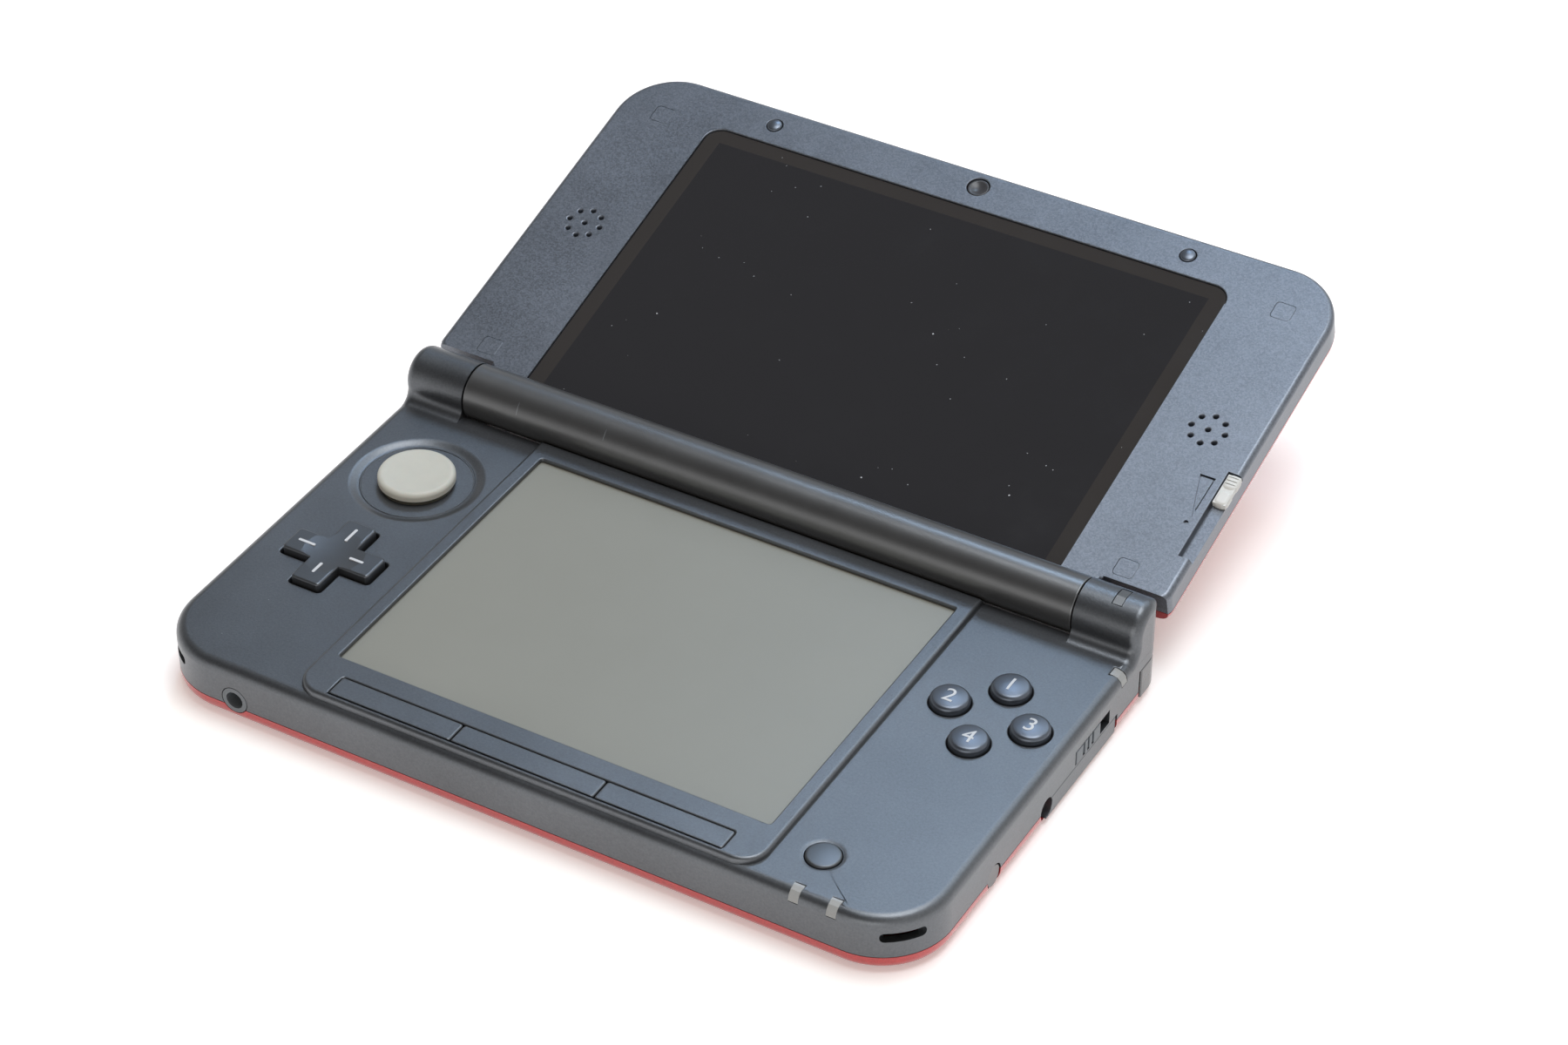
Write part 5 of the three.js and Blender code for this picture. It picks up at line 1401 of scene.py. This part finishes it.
def build_lid_inlays():
    """Bumpers, screw covers and camera lenses."""
    lid = sizes("lid")
    low = lid.top - 1
    sides = ("left", "right")
    for x, word in zip(BUMPERS_X, sides):
        profile = domed(BUMPER_RADIUS, lid.top + 0.5, 0.3, 0.35)
        dome = turned([(0, low), (BUMPER_RADIUS, low), *profile], x, BUMPER_Y, 48)
        node = f"lid_bumper_{word}"
        settle(dome, f"bumper_{word}", "lid", "button", node, on_lid=True)
    words = ("near_left", "near_right", "far_left", "far_right")
    for word, (x, y) in zip(words, screw_cover_places()):
        cover = screw_cover(x, y, 0, low, lid.top, top=0.1)
        node = f"screw_cover_{word}"
        settle(cover, f"plug_{word}", "lid", "bezel", node, on_lid=True)
    module = block(-3.4, 3.4, 79.725, 84.525, lid.bezel_low - 3.3, lid.bezel_low - 0.3)
    inner = join(turned(inner_lens_profile(), 0, LENS_Y), module)
    settle(inner, "inner_lens", "lid", "lens", "inner_camera", on_lid=True)
    outer = lid.outer - 0.1
    profile = [
        (0, 0.25), (1.3, 0.3), (1.5, 0.5), (1.7, 0.1), (1.8, 0), (2.25, 0), (2.4, 0.15),
        (2.4, 3.2), (0, 3.2),
    ]
    for x, word in zip(OUTER_LENSES_X, sides):
        lens = turned([(radius, outer + height) for radius, height in profile], x, OUTER_LENS_Y)
        node = f"outer_camera_{word}"
        settle(lens, f"outer_lens_{word}", "lid", "lens", node, on_lid=True)


def inner_lens_profile():
    """A rounded rim round a lens that sinks towards its middle."""
    lid = sizes("lid")
    low, top = lid.bezel_low - 0.5, lid.top - 0.25
    rim = [(0, low), (2.15, low), *arc((1.95, top - 0.2), 0.2, 0, 90, 4), (1.6, top)]
    radius, sink, steps = 1.5, 0.3, 8
    for step in range(steps + 1):
        drop = 0.06 + sink * math.sin(math.pi * 0.5 * step / steps)
        rim.append((radius * (1 - step / steps), top - drop))
    return rim


def build_depth_knob():
    """The pale two-lobed knob that slides along the lid's right edge."""
    base, lid = sizes("base"), sizes("lid")
    left, right = base.half_width - 2.55, base.half_width + 0.25
    low, top = lid.top - 1.2, lid.top + 0.25
    foot = block(left + 0.1, right - 0.15, 30.1, 37.1, low, lid.top - 0.1)
    lobes = []
    for near, far, rise in ((29.9, 33.5, -0.12), (33.7, 37.3, 0)):
        lobes.append(plate(left, right, near, far, low, top + rise, 1.1, top=0.75))
    half = 0.13
    grooves = [
        block(left - 1, right + 1, y - half, y + half, top - 0.2, top + 1)
        for y in (34.8, 35.6, 36.4)
    ]
    knob = cut(join(foot, *lobes), *grooves)
    settle(
        knob, "depth_knob", "depth_slider", "slider", "depth_slider",
        on_lid=True,
    )


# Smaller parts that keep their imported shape, with their edges broken


def trimmed(node, name, body, finish, width=0.12, steps=2):
    shape = node_shape(node)
    soften(shape, width, everywhere, steps)
    return settle(shape, name, body, finish, node)


TRIMMED_PARTS = [
    ("shoulder_button_left", "shoulder_key_left", "button_plastic", "shoulder", 0.35, 3),
    ("shoulder_button_right", "shoulder_key_right", "button_plastic", "shoulder", 0.35, 3),
    ("volume_slider", "volume_knob", "switch_plastic", "switch", 0.15, 2),
    ("wireless_switch", "wireless_knob", "switch_plastic", "switch", 0.12, 2),
    ("memory_card_door", "card_door", "deck_plastic", "deck", 0.12, 2),
]
KEPT_FINISHES = {
    "stylus": "shoulder",
    "light_pipe_power": "pipe",
    "light_pipe_charge": "pipe",
    "light_pipe_wireless": "pipe",
    "light_pipe_notice": "barrel",
    "headphone_jack": "switch",
    "power_inlet": "black",
    "game_card_socket": "black",
    "infrared_window": "infrared",
    "base_tray": "inner",
    "circle_pad_housing": "inner",
    "circle_pad_carriage": "inner",
    "speaker_left": "display",
    "speaker_right": "display",
    "cross_key_pivot": "silicone",
    "face_button_membrane": "silicone",
    "menu_button_membrane": "silicone",
    "cross_key_membrane": "silicone",
    "lower_display": "display",
    "upper_display": "display",
    "main_board": "board",
    "battery": "battery",
    "memory_card_socket": "sheet",
    "memory_card": "card",
    "hinge_clutch": "steel",
    "hinge_bush": "steel",
    "cover_screw_left": "steel",
    "cover_screw_right": "steel",
    "ribbon_cable": "flex",
}


def build_side_parts():
    build_depth_knob()
    for node, name, slot, finish, width, steps in TRIMMED_PARTS:
        trimmed(node, name, node, finish, width, steps)


def dress_kept_parts():
    for node, finish in KEPT_FINISHES.items():
        materials = frame["nodes"][node].data.materials
        materials.clear()
        materials.append(finish_of(finish))


# Stage: floor, soft light and the camera


def seen_rays(tree):
    """1 for rays from the camera, a mirror or a clear surface."""
    kinds = ("Is Camera Ray", "Is Glossy Ray", "Is Transmission Ray")
    camera, glossy, clear = (add_node(tree, "LightPath", output=kind) for kind in kinds)
    return camera + glossy + clear


def floor_material():
    """Matt white that reads as white to the camera and keeps the object's shadow."""
    finish = Finish("floor_paper", roughness=0.9, specular_ior_level=0.1)
    fine = finish.noise(3, detail=2)
    finish.feed("Base Color", finish.blend(fine, (0.86, 0.86, 0.86, 1), (0.9, 0.9, 0.9, 1)))
    glow = finish.node("Emission", sockets={"Color": (1, 1, 1, 1), "Strength": 0.28})
    clear = finish.node("Emission", sockets={"Color": (0, 0, 0, 1), "Strength": 0.0})
    extra = finish.node("MixShader", sockets={0: seen_rays(finish.tree), 1: clear, 2: glow})
    shaded = Value(finish.tree, finish.shader.outputs["BSDF"])
    total = finish.node("AddShader", sockets={0: shaded, 1: extra})
    fill(finish.tree, finish.tree.nodes["Material Output"].inputs["Surface"], total)
    return finish.material


def build_floor():
    shape = bmesh.new()
    bmesh.ops.create_circle(shape, cap_ends=True, radius=6, segments=96)
    mesh = bpy.data.meshes.new("floor")
    shape.to_mesh(mesh)
    shape.free()
    mesh.materials.append(floor_material())
    floor = bpy.data.objects.new("floor", mesh)
    bpy.context.scene.collection.objects.link(floor)


def lamp(name, place, target, size, power, rgb=(1, 1, 1)):
    """A soft rectangular lamp turned towards a point."""
    light = bpy.data.lights.new(name, "AREA")
    light.shape, light.size, light.size_y = "RECTANGLE", size[0], size[1]
    light.energy, light.color = power, rgb
    holder = bpy.data.objects.new(name, light)
    holder.location = place
    holder.visible_camera = False
    towards = Vector(target) - Vector(place)
    holder.rotation_euler = towards.to_track_quat("-Z", "Y").to_euler()
    bpy.context.scene.collection.objects.link(holder)


def build_world():
    """An even pale surround that reads as white behind the object."""
    world = bpy.data.worlds.new("studio")
    world.use_nodes = True
    tree = world.node_tree
    even = tree.nodes["Background"]
    even.inputs["Color"].default_value = (1, 0.84, 0.7, 1)
    even.inputs["Strength"].default_value = 0.45
    place = add_node(tree, "TexCoord", output="Generated")
    side, front, up = (
        add_node(tree, "SeparateXYZ", sockets={0: place}, output=axis) for axis in "XYZ"
    )
    fall, ahead = up.ramp(0.1, 0.5), front.ramp(-0.5, 0.3)
    aside = 1 - side.ramp(0.15, 0.6) * 0.8
    inside = 1 - add_node(tree, "LightPath", output="Is Camera Ray")
    strength = 1 - inside * fall * aside * (0.94 - ahead * 0.22)
    white = add_node(tree, "Background", sockets={"Strength": strength})
    even = Value(tree, even.outputs[0])
    chosen = add_node(tree, "MixShader", sockets={0: seen_rays(tree), 1: even, 2: white})
    fill(tree, tree.nodes["World Output"].inputs["Surface"], chosen)
    bpy.context.scene.world = world


def build_camera():
    """The camera that was fitted to the object's edges."""
    camera = bpy.data.cameras.new("camera")
    camera.sensor_width, camera.lens = 36, 95.6511
    camera.clip_start, camera.clip_end = 0.01, 50
    holder = bpy.data.objects.new("camera", camera)
    right = Vector((0.8658031, 0.5003849, 0.0001645))
    down = Vector((0.3096735, -0.5355616, -0.7856692))
    ahead = Vector((-0.3930489, 0.6802857, -0.6186468))
    turn = Matrix((right, -down, -ahead)).transposed().to_4x4()
    holder.matrix_world = Matrix.Translation((0.3058231, -0.4833539, 0.4868869)) @ turn
    bpy.context.scene.collection.objects.link(holder)
    bpy.context.scene.camera = holder


def build_stage():
    bpy.context.scene.view_settings.view_transform = "Standard"
    build_floor()
    build_world()
    lamp("window", (0.2, 1.15, 1), (0, 0.05, 0), (1, 0.7), 4.5, (0.74, 0.87, 1))
    lamp("sky", (0.17, 0.2, 1.5), (0, 0, 0), (1, 0.8), 16, (0.92, 0.96, 1))
    lamp("side", (-0.59, 1.41, 1.79), (0, 0, 0), (0.3, 0.5), 6.5, (0.55, 0.75, 1))
    lamp("fill", (0.4, -1.9, 0.4), (0, 0, 0), (1.6, 0.6), 6, (1, 0.98, 0.95))
    build_camera()


# Operators, panel and registration


class CONSOLE_OT_stage(bpy.types.Operator):
    """Lay the floor, hang the lamps and place the camera"""

    bl_idname = "console.stage"
    bl_label = "Stage"

    def execute(self, context):
        build_stage()
        return {"FINISHED"}


class CONSOLE_OT_top_shell(bpy.types.Operator):
    """Build the base's top shell with its screen frame, knuckles and openings"""

    bl_idname = "console.top_shell"
    bl_label = "Top Shell"

    def execute(self, context):
        build_top_shell()
        return {"FINISHED"}


class CONSOLE_OT_bottom_shell(bpy.types.Operator):
    """Build the base's bottom cover"""

    bl_idname = "console.bottom_shell"
    bl_label = "Bottom Shell"

    def execute(self, context):
        build_bottom_shell()
        return {"FINISHED"}


class CONSOLE_OT_touch_screen(bpy.types.Operator):
    """Build the touch panel of the lower screen"""

    bl_idname = "console.touch_screen"
    bl_label = "Touch Screen"

    def execute(self, context):
        build_touch_screen()
        return {"FINISHED"}


class CONSOLE_OT_face_buttons(bpy.types.Operator):
    """Build the four face buttons and their numerals"""

    bl_idname = "console.face_buttons"
    bl_label = "Face Buttons"

    def execute(self, context):
        build_face_buttons()
        return {"FINISHED"}


class CONSOLE_OT_flat_buttons(bpy.types.Operator):
    """Build the power button and the row of menu buttons"""

    bl_idname = "console.flat_buttons"
    bl_label = "Power and Menu Buttons"

    def execute(self, context):
        build_power_button()
        build_menu_buttons()
        return {"FINISHED"}


class CONSOLE_OT_circle_pad(bpy.types.Operator):
    """Build the circle pad"""

    bl_idname = "console.circle_pad"
    bl_label = "Circle Pad"

    def execute(self, context):
        build_circle_pad()
        return {"FINISHED"}


class CONSOLE_OT_cross_key(bpy.types.Operator):
    """Build the cross key and its lines"""

    bl_idname = "console.cross_key"
    bl_label = "Cross Key"

    def execute(self, context):
        build_cross_key()
        return {"FINISHED"}


class CONSOLE_OT_lid_shells(bpy.types.Operator):
    """Build the lid's frame with its barrel, and its outer cover"""

    bl_idname = "console.lid_shells"
    bl_label = "Lid Shells"

    def execute(self, context):
        build_lid_frame()
        build_lid_cover()
        return {"FINISHED"}


class CONSOLE_OT_lid_parts(bpy.types.Operator):
    """Build the upper glass, bumpers, screw covers and lenses"""

    bl_idname = "console.lid_parts"
    bl_label = "Lid Parts"

    def execute(self, context):
        build_upper_glass()
        build_lid_inlays()
        return {"FINISHED"}


class CONSOLE_OT_side_parts(bpy.types.Operator):
    """Finish the switches, sliders, shoulder buttons and doors"""

    bl_idname = "console.side_parts"
    bl_label = "Side Parts"

    def execute(self, context):
        build_side_parts()
        return {"FINISHED"}


class CONSOLE_OT_inner_parts(bpy.types.Operator):
    """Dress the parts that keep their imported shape"""

    bl_idname = "console.inner_parts"
    bl_label = "Inner Parts"

    def execute(self, context):
        dress_kept_parts()
        return {"FINISHED"}


OPERATORS = [
    CONSOLE_OT_stage,
    CONSOLE_OT_top_shell,
    CONSOLE_OT_bottom_shell,
    CONSOLE_OT_touch_screen,
    CONSOLE_OT_face_buttons,
    CONSOLE_OT_flat_buttons,
    CONSOLE_OT_circle_pad,
    CONSOLE_OT_cross_key,
    CONSOLE_OT_lid_shells,
    CONSOLE_OT_lid_parts,
    CONSOLE_OT_side_parts,
    CONSOLE_OT_inner_parts,
]


class CONSOLE_PT_pieces(bpy.types.Panel):
    """Lists what the console is built from"""

    bl_idname = "CONSOLE_PT_pieces"
    bl_label = "Clamshell Console"
    bl_space_type = "VIEW_3D"
    bl_region_type = "UI"
    bl_category = "Console"

    def draw(self, context):
        settings = context.scene.console
        finishes = self.layout.box()
        for name in settings.finishes.bl_rna.properties.keys():
            if name not in ("rna_type", "name"):
                finishes.prop(settings.finishes, name)
        for operator in OPERATORS:
            self.layout.operator(operator.bl_idname)


CLASSES = [
    BaseSizes,
    ScreenSizes,
    HingeSizes,
    LidSizes,
    ControlSizes,
    Finishes,
    ConsoleSettings,
    *OPERATORS,
    CONSOLE_PT_pieces,
]


def register():
    for each in CLASSES:
        bpy.utils.register_class(each)
    bpy.types.Scene.console = PointerProperty(type=ConsoleSettings)


def unregister():
    del bpy.types.Scene.console
    for each in reversed(CLASSES):
        bpy.utils.unregister_class(each)


def main():
    register()
    for operator in OPERATORS:
        getattr(bpy.ops.console, operator.bl_idname.split(".")[1])()


if __name__ == "__main__":
    main()
